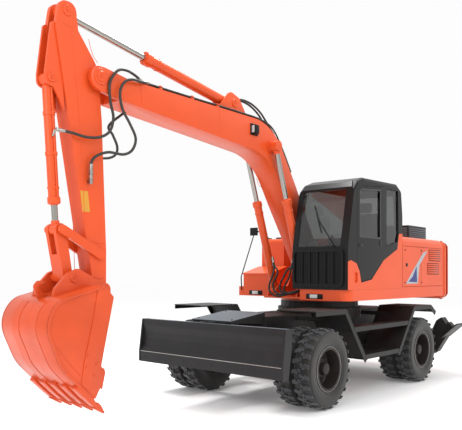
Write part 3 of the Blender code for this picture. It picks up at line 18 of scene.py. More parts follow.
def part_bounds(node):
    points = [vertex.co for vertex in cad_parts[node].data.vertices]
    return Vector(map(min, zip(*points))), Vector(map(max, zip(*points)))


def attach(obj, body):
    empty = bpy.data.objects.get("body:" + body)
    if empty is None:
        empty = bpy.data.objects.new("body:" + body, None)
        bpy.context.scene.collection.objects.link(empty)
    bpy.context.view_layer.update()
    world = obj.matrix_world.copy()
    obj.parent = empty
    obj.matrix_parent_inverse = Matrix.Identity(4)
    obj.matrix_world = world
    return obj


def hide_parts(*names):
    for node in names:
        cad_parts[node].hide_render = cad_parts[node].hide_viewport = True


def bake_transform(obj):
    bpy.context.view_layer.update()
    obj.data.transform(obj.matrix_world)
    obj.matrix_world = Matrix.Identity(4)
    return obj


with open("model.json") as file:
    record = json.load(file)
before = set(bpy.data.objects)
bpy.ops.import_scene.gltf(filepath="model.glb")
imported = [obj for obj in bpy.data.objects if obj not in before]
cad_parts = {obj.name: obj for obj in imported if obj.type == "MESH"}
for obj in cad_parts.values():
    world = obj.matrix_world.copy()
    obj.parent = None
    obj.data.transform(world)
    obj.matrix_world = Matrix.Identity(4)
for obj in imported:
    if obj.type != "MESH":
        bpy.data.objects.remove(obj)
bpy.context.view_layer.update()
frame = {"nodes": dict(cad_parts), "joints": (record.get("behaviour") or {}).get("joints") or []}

Point = tuple[float, float, float]
Flat = tuple[float, float]
LOG = logging.getLogger("excavator")
PIVOTS = {joint["name"]: Vector(joint["pos_m"]) for joint in frame["joints"] if "pos_m" in joint}
SLEW_X = PIVOTS["slew"].x
SHIFT = Vector((SLEW_X, 0.0, 0.0))
LEFT, RIGHT = 1, -1
SIDES = ((LEFT, "left"), (RIGHT, "right"))


def pivot(joint: str, y: float = 0.0) -> Vector:
    """Pivot of a joint, counted from the slewing axis, set at a distance y from the middle.

    Args:
        joint: name of the joint in the record.
        y: place across the machine.

    Returns:
        The point on the joint's axis.
    """
    place = PIVOTS[joint] - SHIFT
    return Vector((place.x, y, place.z))


def part_box(node: str) -> tuple[Vector, Vector]:
    """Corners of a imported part, counted from the slewing axis.

    Args:
        node: name of the part.

    Returns:
        Its lowest and highest corners.
    """
    low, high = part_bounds(node)
    return low - SHIFT, high - SHIFT


# ---------------------------------------------------------------- finishes
COAT_ROUGHNESS = 0.12
CLOTH_SHEEN = 0.3
GRAIN_DEPTH = 0.002


class Kind(Enum):
    """How a finish answers to light."""

    PAINT = "paint"
    BARE_METAL = "bare metal"
    SOFT = "soft"


class Shading(Enum):
    """Angle in degrees past which an edge of a piece is drawn sharp."""

    BENT_SHEET = 28.0
    CRISP = 30.0
    TURNED = 32.0
    FITTED = 35.0
    SMALL = 40.0
    ROUND = 60.0


class SurfaceGroup:
    """Shared node group: slow colour drift, settled dust and fine grain on any surface."""

    DRIFT_DETAIL = 6.0
    GRAIN_DETAIL = 2.0
    PATCH_DETAIL = 8.0
    PATCH_SCALE = 5.5
    DRIFT_RANGE = (0.3, 0.7)
    DUST_RANGE = (0.42, 0.75)
    DUST_ROUGHNESS = 0.35

    _tree: bpy.types.NodeTree | None = None

    @classmethod
    def tree(cls) -> bpy.types.NodeTree:
        """The group, built at its first use.

        Returns:
            The node tree with its named sockets.
        """
        if cls._tree is None:
            cls._tree = cls._build()
        return cls._tree

    @classmethod
    def _build(cls) -> bpy.types.NodeTree:
        """Make the group's sockets and nodes.

        Returns:
            The finished node tree.
        """
        tree = bpy.data.node_groups.new("worn_surface", "ShaderNodeTree")
        for name, kind, default in (
                ("Colour", "NodeSocketColor", (0.5, 0.5, 0.5, 1.0)),
                ("Dust Colour", "NodeSocketColor", (0.3, 0.25, 0.2, 1.0)),
                ("Drift", "NodeSocketFloat", 0.1), ("Dust", "NodeSocketFloat", 0.1),
                ("Drift Scale", "NodeSocketFloat", 2.0), ("Grain Scale", "NodeSocketFloat", 300.0),
                ("Roughness", "NodeSocketFloat", 0.4)):
            socket = tree.interface.new_socket(name, in_out="INPUT", socket_type=kind)
            socket.default_value = default
        for name, kind in (("Colour", "NodeSocketColor"), ("Roughness", "NodeSocketFloat"),
                           ("Height", "NodeSocketFloat")):
            tree.interface.new_socket(name, in_out="OUTPUT", socket_type=kind)
        nodes, links = tree.nodes, tree.links
        inputs, outputs = nodes.new("NodeGroupInput"), nodes.new("NodeGroupOutput")
        place = nodes.new("ShaderNodeTexCoord")
        drift, grain, patch = (nodes.new("ShaderNodeTexNoise") for _ in range(3))
        patch.inputs["Scale"].default_value = cls.PATCH_SCALE
        for noise, detail in ((drift, cls.DRIFT_DETAIL), (grain, cls.GRAIN_DETAIL),
                              (patch, cls.PATCH_DETAIL)):
            noise.inputs["Detail"].default_value = detail
            links.new(place.outputs["Object"], noise.inputs["Vector"])
        links.new(inputs.outputs["Drift Scale"], drift.inputs["Scale"])
        links.new(inputs.outputs["Grain Scale"], grain.inputs["Scale"])
        # colour drift: brighter and darker than the base by the same share
        shade = nodes.new("ShaderNodeMapRange")
        shade.inputs["From Min"].default_value, shade.inputs["From Max"].default_value = cls.DRIFT_RANGE
        low, high = nodes.new("ShaderNodeMath"), nodes.new("ShaderNodeMath")
        low.operation, high.operation = "SUBTRACT", "ADD"
        low.inputs[0].default_value = high.inputs[0].default_value = 1.0
        links.new(inputs.outputs["Drift"], low.inputs[1])
        links.new(inputs.outputs["Drift"], high.inputs[1])
        links.new(low.outputs[0], shade.inputs["To Min"])
        links.new(high.outputs[0], shade.inputs["To Max"])
        links.new(drift.outputs["Fac"], shade.inputs["Value"])
        tinted = nodes.new("ShaderNodeVectorMath")
        tinted.operation = "SCALE"
        links.new(inputs.outputs["Colour"], tinted.inputs[0])
        links.new(shade.outputs["Result"], tinted.inputs["Scale"])
        # dust lies in patches
        mask = nodes.new("ShaderNodeMapRange")
        mask.inputs["From Min"].default_value, mask.inputs["From Max"].default_value = cls.DUST_RANGE
        links.new(patch.outputs["Fac"], mask.inputs["Value"])
        amount = nodes.new("ShaderNodeMath")
        amount.operation = "MULTIPLY"
        links.new(mask.outputs["Result"], amount.inputs[0])
        links.new(inputs.outputs["Dust"], amount.inputs[1])
        mixed = nodes.new("ShaderNodeMix")
        mixed.data_type = "RGBA"
        links.new(amount.outputs[0], mixed.inputs["Factor"])
        links.new(tinted.outputs["Vector"], mixed.inputs["A"])
        links.new(inputs.outputs["Dust Colour"], mixed.inputs["B"])
        links.new(mixed.outputs["Result"], outputs.inputs["Colour"])
        rough = nodes.new("ShaderNodeMath")
        rough.operation = "MULTIPLY_ADD"
        rough.inputs[1].default_value = cls.DUST_ROUGHNESS
        links.new(amount.outputs[0], rough.inputs[0])
        links.new(inputs.outputs["Roughness"], rough.inputs[2])
        links.new(rough.outputs[0], outputs.inputs["Roughness"])
        links.new(grain.outputs["Fac"], outputs.inputs["Height"])
        return tree


@dataclass(frozen=True)
class Finish:
    """One finish of the machine, with the values that its material takes."""

    name: str
    colour: Point
    roughness: float = 0.4
    kind: Kind = Kind.PAINT
    coat: float = 0.0
    drift: float = 0.08
    dust: float = 0.1
    dust_colour: Point = (0.22, 0.17, 0.13)
    drift_scale: float = 1.6
    grain_scale: float = 260.0
    grain: float = 0.12
    glow: float = 0.0
    clear: float = 0.0
    specular: float = 0.3

    def material(self) -> bpy.types.Material:
        """The Blender material, made once.

        Returns:
            A material whose colour, roughness and bump come from the shared group.
        """
        made = bpy.data.materials.get(self.name)
        if made is not None:
            return made
        made = bpy.data.materials.new(self.name)
        made.use_nodes = True
        nodes, links = made.node_tree.nodes, made.node_tree.links
        shader = nodes["Principled BSDF"]
        worn = nodes.new("ShaderNodeGroup")
        worn.node_tree = SurfaceGroup.tree()
        for socket, value in (("Colour", (*self.colour, 1.0)), ("Dust Colour", (*self.dust_colour, 1.0)),
                              ("Drift", self.drift), ("Dust", self.dust), ("Drift Scale", self.drift_scale),
                              ("Grain Scale", self.grain_scale), ("Roughness", self.roughness)):
            worn.inputs[socket].default_value = value
        links.new(worn.outputs["Colour"], shader.inputs["Base Color"])
        links.new(worn.outputs["Roughness"], shader.inputs["Roughness"])
        shader.inputs["Metallic"].default_value = 1.0 if self.kind is Kind.BARE_METAL else 0.0
        shader.inputs["Specular IOR Level"].default_value = self.specular
        shader.inputs["Coat Weight"].default_value = self.coat
        shader.inputs["Coat Roughness"].default_value = COAT_ROUGHNESS
        shader.inputs["Transmission Weight"].default_value = self.clear
        if self.kind is Kind.SOFT:
            shader.inputs["Sheen Weight"].default_value = CLOTH_SHEEN
        if self.glow:
            shader.inputs["Emission Color"].default_value = (*self.colour, 1.0)
            shader.inputs["Emission Strength"].default_value = self.glow
        bump = nodes.new("ShaderNodeBump")
        bump.inputs["Strength"].default_value = self.grain
        bump.inputs["Distance"].default_value = GRAIN_DEPTH
        links.new(worn.outputs["Height"], bump.inputs["Height"])
        links.new(bump.outputs["Normal"], shader.inputs["Normal"])
        made.diffuse_color = (*self.colour, 1.0)
        return made


ORANGE = Finish("orange_paint", (0.66, 0.076, 0.014), 0.34, coat=0.10, drift=0.05, dust=0.05,
                dust_colour=(0.46, 0.07, 0.03), grain=0.04)
WEATHERED_ORANGE = Finish("bucket_paint", (0.58, 0.066, 0.013), 0.34, coat=0.08, drift=0.09, dust=0.12,
                          dust_colour=(0.34, 0.06, 0.022), grain=0.08, drift_scale=3.0)
FRAME_BLACK = Finish("undercarriage_paint", (0.018, 0.017, 0.0165), 0.45, dust=0.22,
                     dust_colour=(0.042, 0.036, 0.031), grain=0.12, specular=0.22)
BLADE_BLACK = Finish("blade_paint", (0.016, 0.0155, 0.017), 0.40, drift=0.12, dust=0.18,
                     dust_colour=(0.036, 0.032, 0.033), grain=0.08, specular=0.22)
CAB_BLACK = Finish("cab_enamel", (0.009, 0.009, 0.009), 0.24, dust=0.06, dust_colour=(0.025, 0.023, 0.021),
                   grain=0.03, specular=0.17)
RUBBER = Finish("tyre_rubber_worn", (0.017, 0.0165, 0.016), 0.72, Kind.SOFT, drift=0.15, dust=0.35,
                dust_colour=(0.050, 0.042, 0.034), grain_scale=180.0, grain=0.35, specular=0.2)
TREAD = Finish("tread_rubber", (0.034, 0.035, 0.040), 0.60, Kind.SOFT, drift=0.12, dust=0.2,
               dust_colour=(0.060, 0.056, 0.052), grain_scale=180.0, grain=0.3, specular=0.2)
HOSE_RUBBER = Finish("hose_rubber", (0.030, 0.029, 0.026), 0.45, drift=0.1, dust=0.2,
                     dust_colour=(0.10, 0.085, 0.065), grain=0.25)
CHROME = Finish("chromed_rod", (0.34, 0.325, 0.30), 0.20, Kind.BARE_METAL, drift=0.05, dust=0.05,
                dust_colour=(0.16, 0.13, 0.10), grain=0.02)
STEEL = Finish("zinc_steel", (0.34, 0.33, 0.31), 0.34, Kind.BARE_METAL, dust=0.15, grain=0.1)
RIM_BROWN = Finish("rim_paint", (0.021, 0.018, 0.016), 0.45, dust=0.3, dust_colour=(0.060, 0.044, 0.034),
                   grain=0.12, specular=0.22)
GLASS = Finish("tinted_glass", (0.50, 0.51, 0.50), 0.03, drift=0.01, dust=0.0, grain=0.0, clear=1.0)
SIDE_GLASS = Finish("dark_glass", (0.16, 0.165, 0.165), 0.03, drift=0.01, dust=0.0, grain=0.0, clear=1.0)
LAMP_GLASS = Finish("lamp_lens", (0.55, 0.56, 0.55), 0.15, coat=0.6, drift=0.05, dust=0.05,
                    grain_scale=90.0, grain=0.5)
SEAT_CLOTH = Finish("seat_weave", (0.030, 0.031, 0.035), 0.85, Kind.SOFT, dust=0.1, grain_scale=500.0,
                    grain=0.5)
TRIM_GREY = Finish("console_plastic", (0.055, 0.055, 0.058), 0.55, dust=0.1, grain_scale=400.0, grain=0.3)
# grey-blue paint of the cover sheet and the intake slats, used also for the painted highlight on the
# blade's top
COVER_GREY_AND_HIGHLIGHT = Finish("cover_paint_and_painted_highlight", (0.085, 0.105, 0.125), 0.45, dust=0.2,
                    dust_colour=(0.15, 0.15, 0.14), grain=0.1)
PLATE_YELLOW = Finish("plate_yellow", (0.58, 0.27, 0.03), 0.5, drift=0.05, dust=0.15, grain=0.05)
STRIPE_BLUE = Finish("stripe_blue", (0.010, 0.022, 0.16), 0.35, coat=0.1, dust=0.03, grain=0.03)
STRIPE_SILVER = Finish("stripe_silver", (0.34, 0.37, 0.40), 0.35, coat=0.1, dust=0.05, grain=0.03)
# painted shade: a darkened orange for the shaded openings of the door louvres
LOUVRE_PAINTED_SHADE = Finish("louvre_painted_shade", (0.16, 0.014, 0.006), 0.6, dust=0.1, grain=0.08)
FLOOR = Finish("pale_floor", (0.90, 0.90, 0.90), 0.9, drift=0.0, dust=0.0, grain=0.0, glow=0.10,
               specular=0.0)


# ---------------------------------------------------------------- pins, seen from the side
BOOM_FOOT, BOOM_TIP = (0.300, 1.800), (4.480, 3.765)
BOOM_RAM_FOOT, BOOM_RAM_EYE = (0.820, 1.460), (1.535, 3.490)
ARM_RAM_FOOT, ARM_RAM_EYE = (2.230, 3.970), (4.840, 4.370)
BUCKET_RAM_FOOT, BUCKET_RAM_EYE = (5.005, 3.650), (4.885, 2.150)
BLADE_RAM_FOOT, BLADE_RAM_EYE = (1.965, 1.040), (2.500, 0.620)


def pin_at(pin: Flat, y: float = 0.0) -> Vector:
    """Middle of a pin across the machine.

    Args:
        pin: the pin, seen from the side.
        y: place across the machine.

    Returns:
        The point.
    """
    return Vector((pin[0], y, pin[1]))


# ---------------------------------------------------------------- modelling moves
EASED_ANGLE = math.radians(35)
SAME_POINT = 0.00002
NO_LENGTH = 0.000001


def let_go() -> None:
    """Leave edit mode and deselect everything."""
    if bpy.context.mode != "OBJECT":
        bpy.ops.object.mode_set(mode="OBJECT")
    bpy.ops.object.select_all(action="DESELECT")


def hold(*pieces: bpy.types.Object) -> None:
    """Select only these pieces, the first of them active.

    Args:
        pieces: what the next operator acts on.
    """
    let_go()
    for piece in pieces:
        piece.select_set(True)
    bpy.context.view_layer.objects.active = pieces[0]


def rounded(corners: Sequence[tuple[float, ...]], steps: int = 8) -> list[Flat]:
    """Outline through corners (u, v, radius), each corner with a radius turned into an arc.

    Args:
        corners: the corners in order; a corner without a radius stays sharp.
        steps: pieces in each arc.

    Returns:
        The outline's points.
    """
    points: list[Flat] = []
    for index, corner in enumerate(corners):
        here = Vector(corner[:2])
        radius = corner[2] if len(corner) > 2 else 0.0
        if radius <= 0.0:
            points.append((here.x, here.y))
            continue
        before = (Vector(corners[index - 1][:2]) - here).normalized()
        after = (Vector(corners[(index + 1) % len(corners)][:2]) - here).normalized()
        half = before.angle(after) / 2.0
        centre = here + (before + after).normalized() * (radius / math.sin(half))
        start = here + before * (radius / math.tan(half)) - centre
        turn = (math.pi - 2.0 * half) * (-1.0 if before.cross(after) > 0.0 else 1.0)
        for step in range(steps + 1):
            spoke = Matrix.Rotation(turn * step / steps, 2) @ start
            points.append((centre.x + spoke.x, centre.y + spoke.y))
    return points


def offset(points: Sequence[Flat], distance: float) -> list[Flat]:
    """Open line moved to the left of its travel, with mitred corners.

    Args:
        points: the line.
        distance: how far it moves.

    Returns:
        The moved line.
    """
    moved: list[Flat] = []
    for index, point in enumerate(points):
        here = Vector(point)
        into = here - Vector(points[index - 1]) if index else Vector(points[1]) - here
        out = Vector(points[index + 1]) - here if index < len(points) - 1 else into
        into.normalize()
        out.normalize()
        left = Vector((-into.y, into.x))
        mitre = (left + Vector((-out.y, out.x))).normalized()
        place = here + mitre * (distance / mitre.dot(left))
        moved.append((place.x, place.y))
    return moved


def ease(piece: bpy.types.Object, width: float, segments: int = 2) -> bpy.types.Object:
    """Round the sharp edges of a piece.

    Args:
        piece: the piece.
        width: width of the rounding.
        segments: faces across it.

    Returns:
        The same piece.
    """
    if width > 0.0:
        modifier = piece.modifiers.new("eased", "BEVEL")
        modifier.width = width
        modifier.segments = segments
        modifier.limit_method = "ANGLE"
        modifier.angle_limit = EASED_ANGLE
        hold(piece)
        bpy.ops.object.modifier_apply(modifier=modifier.name)
    return piece


def block(low: Sequence[float], high: Sequence[float], width: float = 0.004) -> bpy.types.Object:
    """Rectangular piece between two corners, with rounded edges.

    Args:
        low: lowest corner.
        high: highest corner.
        width: rounding of the edges.

    Returns:
        The piece.
    """
    let_go()
    low, high = Vector(low), Vector(high)
    bpy.ops.mesh.primitive_cube_add(size=1.0, location=(low + high) / 2.0, scale=high - low)
    piece = bpy.context.object
    bpy.ops.object.transform_apply(location=True, rotation=True, scale=True)
    return ease(piece, width)


def bar(start: Sequence[float], end: Sequence[float], radius: float, sides: int = 32,
        width: float = 0.0) -> bpy.types.Object:
    """Round bar between two points.

    Args:
        start: middle of one end.
        end: middle of the other.
        radius: the bar's radius.
        sides: facets round it.
        width: rounding of the end edges.

    Returns:
        The piece.
    """
    let_go()
    start, end = Vector(start), Vector(end)
    turn = Vector((0, 0, 1)).rotation_difference(end - start).to_euler()
    bpy.ops.mesh.primitive_cylinder_add(vertices=sides, radius=radius, depth=(end - start).length,
                                        location=(start + end) / 2.0, rotation=turn)
    piece = bpy.context.object
    bpy.ops.object.transform_apply(location=True, rotation=True, scale=True)
    return ease(piece, width)


def plate(outline: Sequence[Flat], axis: str, low: float, high: float, width: float = 0.0,
          segments: int = 2) -> bpy.types.Object:
    """Flat piece: an outline in the plane across an axis, extruded along it.

    Args:
        outline: points of the outline.
        axis: "x", "y" or "z".
        low: where it starts along the axis.
        high: where it ends.
        width: rounding of its edges.
        segments: faces across the rounding.

    Returns:
        The piece.
    """
    let_go()
    bpy.ops.mesh.primitive_circle_add(vertices=len(outline), radius=1.0, fill_type="NGON")
    piece = bpy.context.object
    for vert, (u, v) in zip(piece.data.vertices, outline):
        vert.co = {"x": (low, u, v), "y": (u, low, v), "z": (u, v, low)}[axis]
    step = {"x": (high - low, 0, 0), "y": (0, high - low, 0), "z": (0, 0, high - low)}[axis]
    bpy.ops.object.mode_set(mode="EDIT")
    bpy.ops.mesh.select_all(action="SELECT")
    bpy.ops.mesh.extrude_region_move(TRANSFORM_OT_translate={"value": step})
    bpy.ops.mesh.select_all(action="SELECT")
    bpy.ops.mesh.normals_make_consistent(inside=False)
    bpy.ops.object.mode_set(mode="OBJECT")
    return ease(piece, width, segments)


def lathe(profile: Sequence[Flat], centre: Sequence[float], direction: Sequence[float],
          steps: int = 48) -> bpy.types.Object:
    """Closed profile of (radius, distance along the axis) spun about an axis.

    Args:
        profile: the closed outline, at least one radius above zero.
        centre: a point on the axis, from which distances count.
        direction: the axis.
        steps: facets round the piece.

    Returns:
        The piece.
    """
    let_go()
    centre, along = Vector(centre), Vector(direction).normalized()
    spoke = along.orthogonal().normalized()
    bpy.ops.mesh.primitive_circle_add(vertices=len(profile), radius=1.0, fill_type="NOTHING")
    piece = bpy.context.object
    for vert, (radius, distance) in zip(piece.data.vertices, profile):
        vert.co = centre + spoke * radius + along * distance
    bpy.ops.object.mode_set(mode="EDIT")
    bpy.ops.mesh.select_all(action="SELECT")
    bpy.ops.mesh.spin(steps=steps, angle=2.0 * math.pi, center=centre, axis=along)
    bpy.ops.mesh.select_all(action="SELECT")
    bpy.ops.mesh.remove_doubles(threshold=SAME_POINT)
    bpy.ops.mesh.dissolve_degenerate(threshold=NO_LENGTH)
    bpy.ops.mesh.delete_loose()
    bpy.ops.mesh.select_all(action="SELECT")
    bpy.ops.mesh.normals_make_consistent(inside=False)
    bpy.ops.object.mode_set(mode="OBJECT")
    return piece


def smooth_route(points: Sequence[Sequence[float]], per_span: int = 8) -> list[Vector]:
    """Points along a smooth curve through a route's own points.

    Args:
        points: the route.
        per_span: points added between two of them.

    Returns:
        The curve's points.
    """
    route = [Vector(p) for p in points]
    ends = [route[0] * 2 - route[1], *route, route[-1] * 2 - route[-2]]
    curve: list[Vector] = []
    for index in range(1, len(ends) - 2):
        before, here, there, after = ends[index - 1:index + 3]
        for step in range(per_span):
            t = step / per_span
            curve.append(0.5 * (2 * here + (there - before) * t
                                + (2 * before - 5 * here + 4 * there - after) * t * t
                                + (3 * here - before - 3 * there + after) * t * t * t))
    return curve + [route[-1]]


def hose(points: Sequence[Sequence[float]], radius: float, smooth: bool = True) -> bpy.types.Object:
    """Round hose or pipe along a route.

    Args:
        points: the route.
        radius: its radius.
        smooth: whether the route is drawn as a smooth curve.

    Returns:
        The piece as a mesh.
    """
    let_go()
    route = smooth_route(points) if smooth else [Vector(p) for p in points]
    curve = bpy.data.curves.new("route", "CURVE")
    curve.dimensions = "3D"
    curve.bevel_depth = radius
    curve.bevel_resolution = 4
    curve.use_fill_caps = True
    spline = curve.splines.new("POLY")
    spline.points.add(len(route) - 1)
    for point, place in zip(spline.points, route):
        point.co = (*place, 1.0)
    piece = bpy.data.objects.new("route", curve)
    bpy.context.scene.collection.objects.link(piece)
    hold(piece)
    bpy.ops.object.convert(target="MESH")
    return bpy.context.object


def joined(pieces: Iterable[bpy.types.Object]) -> bpy.types.Object:
    """Several meshes as one piece.

    Args:
        pieces: at least one mesh.

    Returns:
        The joined piece.
    """
    pieces = list(pieces)
    hold(*pieces)
    if len(pieces) > 1:
        bpy.ops.object.join()
    return bpy.context.object


def twin_of(piece: bpy.types.Object, place: Matrix) -> bpy.types.Object:
    """Copy of a piece, with its own mesh.

    Args:
        piece: the pattern, which stays.
        place: the copy's move.

    Returns:
        The copy.
    """
    twin = piece.copy()
    twin.data = piece.data.copy()
    twin.data.transform(place)
    bpy.context.scene.collection.objects.link(twin)
    return twin


def copies(piece: bpy.types.Object, places: Iterable[Matrix]) -> bpy.types.Object:
    """One piece repeated at several places, joined at the end.

    Args:
        piece: the pattern, which is used up.
        places: a move for each copy.

    Returns:
        The joined copies.
    """
    made = [twin_of(piece, place) for place in places]
    bpy.data.objects.remove(piece)
    return joined(made)


def cut(piece: bpy.types.Object, *tools: bpy.types.Object) -> bpy.types.Object:
    """Cut shapes out of a piece.

    Args:
        piece: the piece.
        tools: the shapes, which are used up.

    Returns:
        The same piece.
    """
    for tool in tools:
        modifier = piece.modifiers.new("cut", "BOOLEAN")
        modifier.object = tool
        modifier.operation = "DIFFERENCE"
        modifier.solver = "EXACT"
        hold(piece)
        bpy.ops.object.modifier_apply(modifier=modifier.name)
        bpy.data.objects.remove(tool)
    return piece


def finish(piece: bpy.types.Object, name: str, body: str, look: Finish,
           shading: Shading = Shading.FITTED, stands_for: Sequence[str] = (),
           blend: tuple[str, Vector, Vector] | None = None) -> bpy.types.Object:
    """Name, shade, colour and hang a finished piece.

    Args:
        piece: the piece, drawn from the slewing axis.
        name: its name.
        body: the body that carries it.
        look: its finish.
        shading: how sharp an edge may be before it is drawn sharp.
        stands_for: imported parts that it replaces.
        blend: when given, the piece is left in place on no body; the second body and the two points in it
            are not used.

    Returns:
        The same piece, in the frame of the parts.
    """
    piece.data.transform(Matrix.Translation(SHIFT))
    piece.name = name
    piece.data.name = name
    piece.data.materials.clear()
    piece.data.materials.append(look.material())
    hold(piece)
    bpy.ops.object.shade_smooth_by_angle(angle=math.radians(shading.value))
    if blend is None:
        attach(piece, body)
    else:
        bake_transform(piece)
    if stands_for:
        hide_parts(*stands_for)
    LOG.info("%s: %d faces on %s", name, len(piece.data.polygons), body)
    return piece


def ring_of(count: int, centre: Sequence[float], direction: Sequence[float],
            start: float = 0.0) -> list[Matrix]:
    """Even turns about an axis.

    Args:
        count: how many.
        centre: a point on the axis.
        direction: the axis.
        start: the first angle in degrees.

    Returns:
        One matrix for each turn.
    """
    middle = Matrix.Translation(Vector(centre))
    turns = (math.radians(start) + 2.0 * math.pi * k / count for k in range(count))
    return [middle @ Matrix.Rotation(turn, 4, Vector(direction)) @ middle.inverted() for turn in turns]


def side_plate(outline: Sequence[Flat], side: int, near: float, far: float,
               width: float = 0.0) -> bpy.types.Object:
    """Upright plate on one side of the machine.

    Args:
        outline: its outline, seen from the side.
        side: LEFT or RIGHT.
        near: distance of its one face from the middle of the machine.
        far: distance of its other face.
        width: rounding of its edges.

    Returns:
        The piece.
    """
    low, high = sorted((side * near, side * far))
    return plate(outline, "y", low, high, width)


def weld_beads(lines: Iterable[Sequence[Flat]], y: float, radius: float) -> list[bpy.types.Object]:
    """Weld beads on an upright face.

    Args:
        lines: each bead's route, seen from the side.
        y: place of the face.
        radius: radius of a bead.

    Returns:
        The beads.
    """
    return [hose([(x, y, z) for x, z in line], radius) for line in lines]


def boss(middle: Vector, across: Vector, radius: float, width: float) -> bpy.types.Object:
    """Solid round boss about a pin, with its edges broken.

    Args:
        middle: the boss's middle.
        across: the way that the pin runs.
        radius: its radius.
        width: its width along the pin.

    Returns:
        The piece.
    """
    half = width / 2.0
    return lathe([(0.001, -half), (radius - 0.004, -half), (radius, -half + 0.004),
                  (radius, half - 0.004), (radius - 0.004, half), (0.001, half)], middle, across, 40)


def screw(head: Sequence[float], direction: Sequence[float], size: float = 0.012) -> bpy.types.Object:
    """Hexagon head with its washer, standing on a face.

    Args:
        head: point on the face.
        direction: the way that the head points.
        size: radius of the head.

    Returns:
        The piece.
    """
    head, along = Vector(head), Vector(direction).normalized()
    return joined([bar(head, head + along * size * 0.25, size * 1.35, 20),
                   bar(head, head + along * size * 0.85, size, 6, size * 0.12)])


def pin_cap(at: Sequence[float], side: int, radius: float, depth: float = 0.012) -> bpy.types.Object:
    """End cap of a pin across the machine, with its keeper bolt.

    Args:
        at: middle of the face that it lies on.
        side: LEFT or RIGHT.
        radius: the cap's radius.
        depth: how far it stands out.

    Returns:
        The piece.
    """
    outwards = Vector((0, side, 0))
    cap = lathe([(0.0, 0.0), (radius, 0.0), (radius, depth * 0.6), (radius * 0.92, depth),
                 (radius * 0.62, depth), (radius * 0.56, depth * 0.6), (0.0, depth * 0.6)], at, outwards,
                32)
    return joined([cap, screw(Vector(at) + outwards * depth * 0.6, outwards, radius * 0.2)])


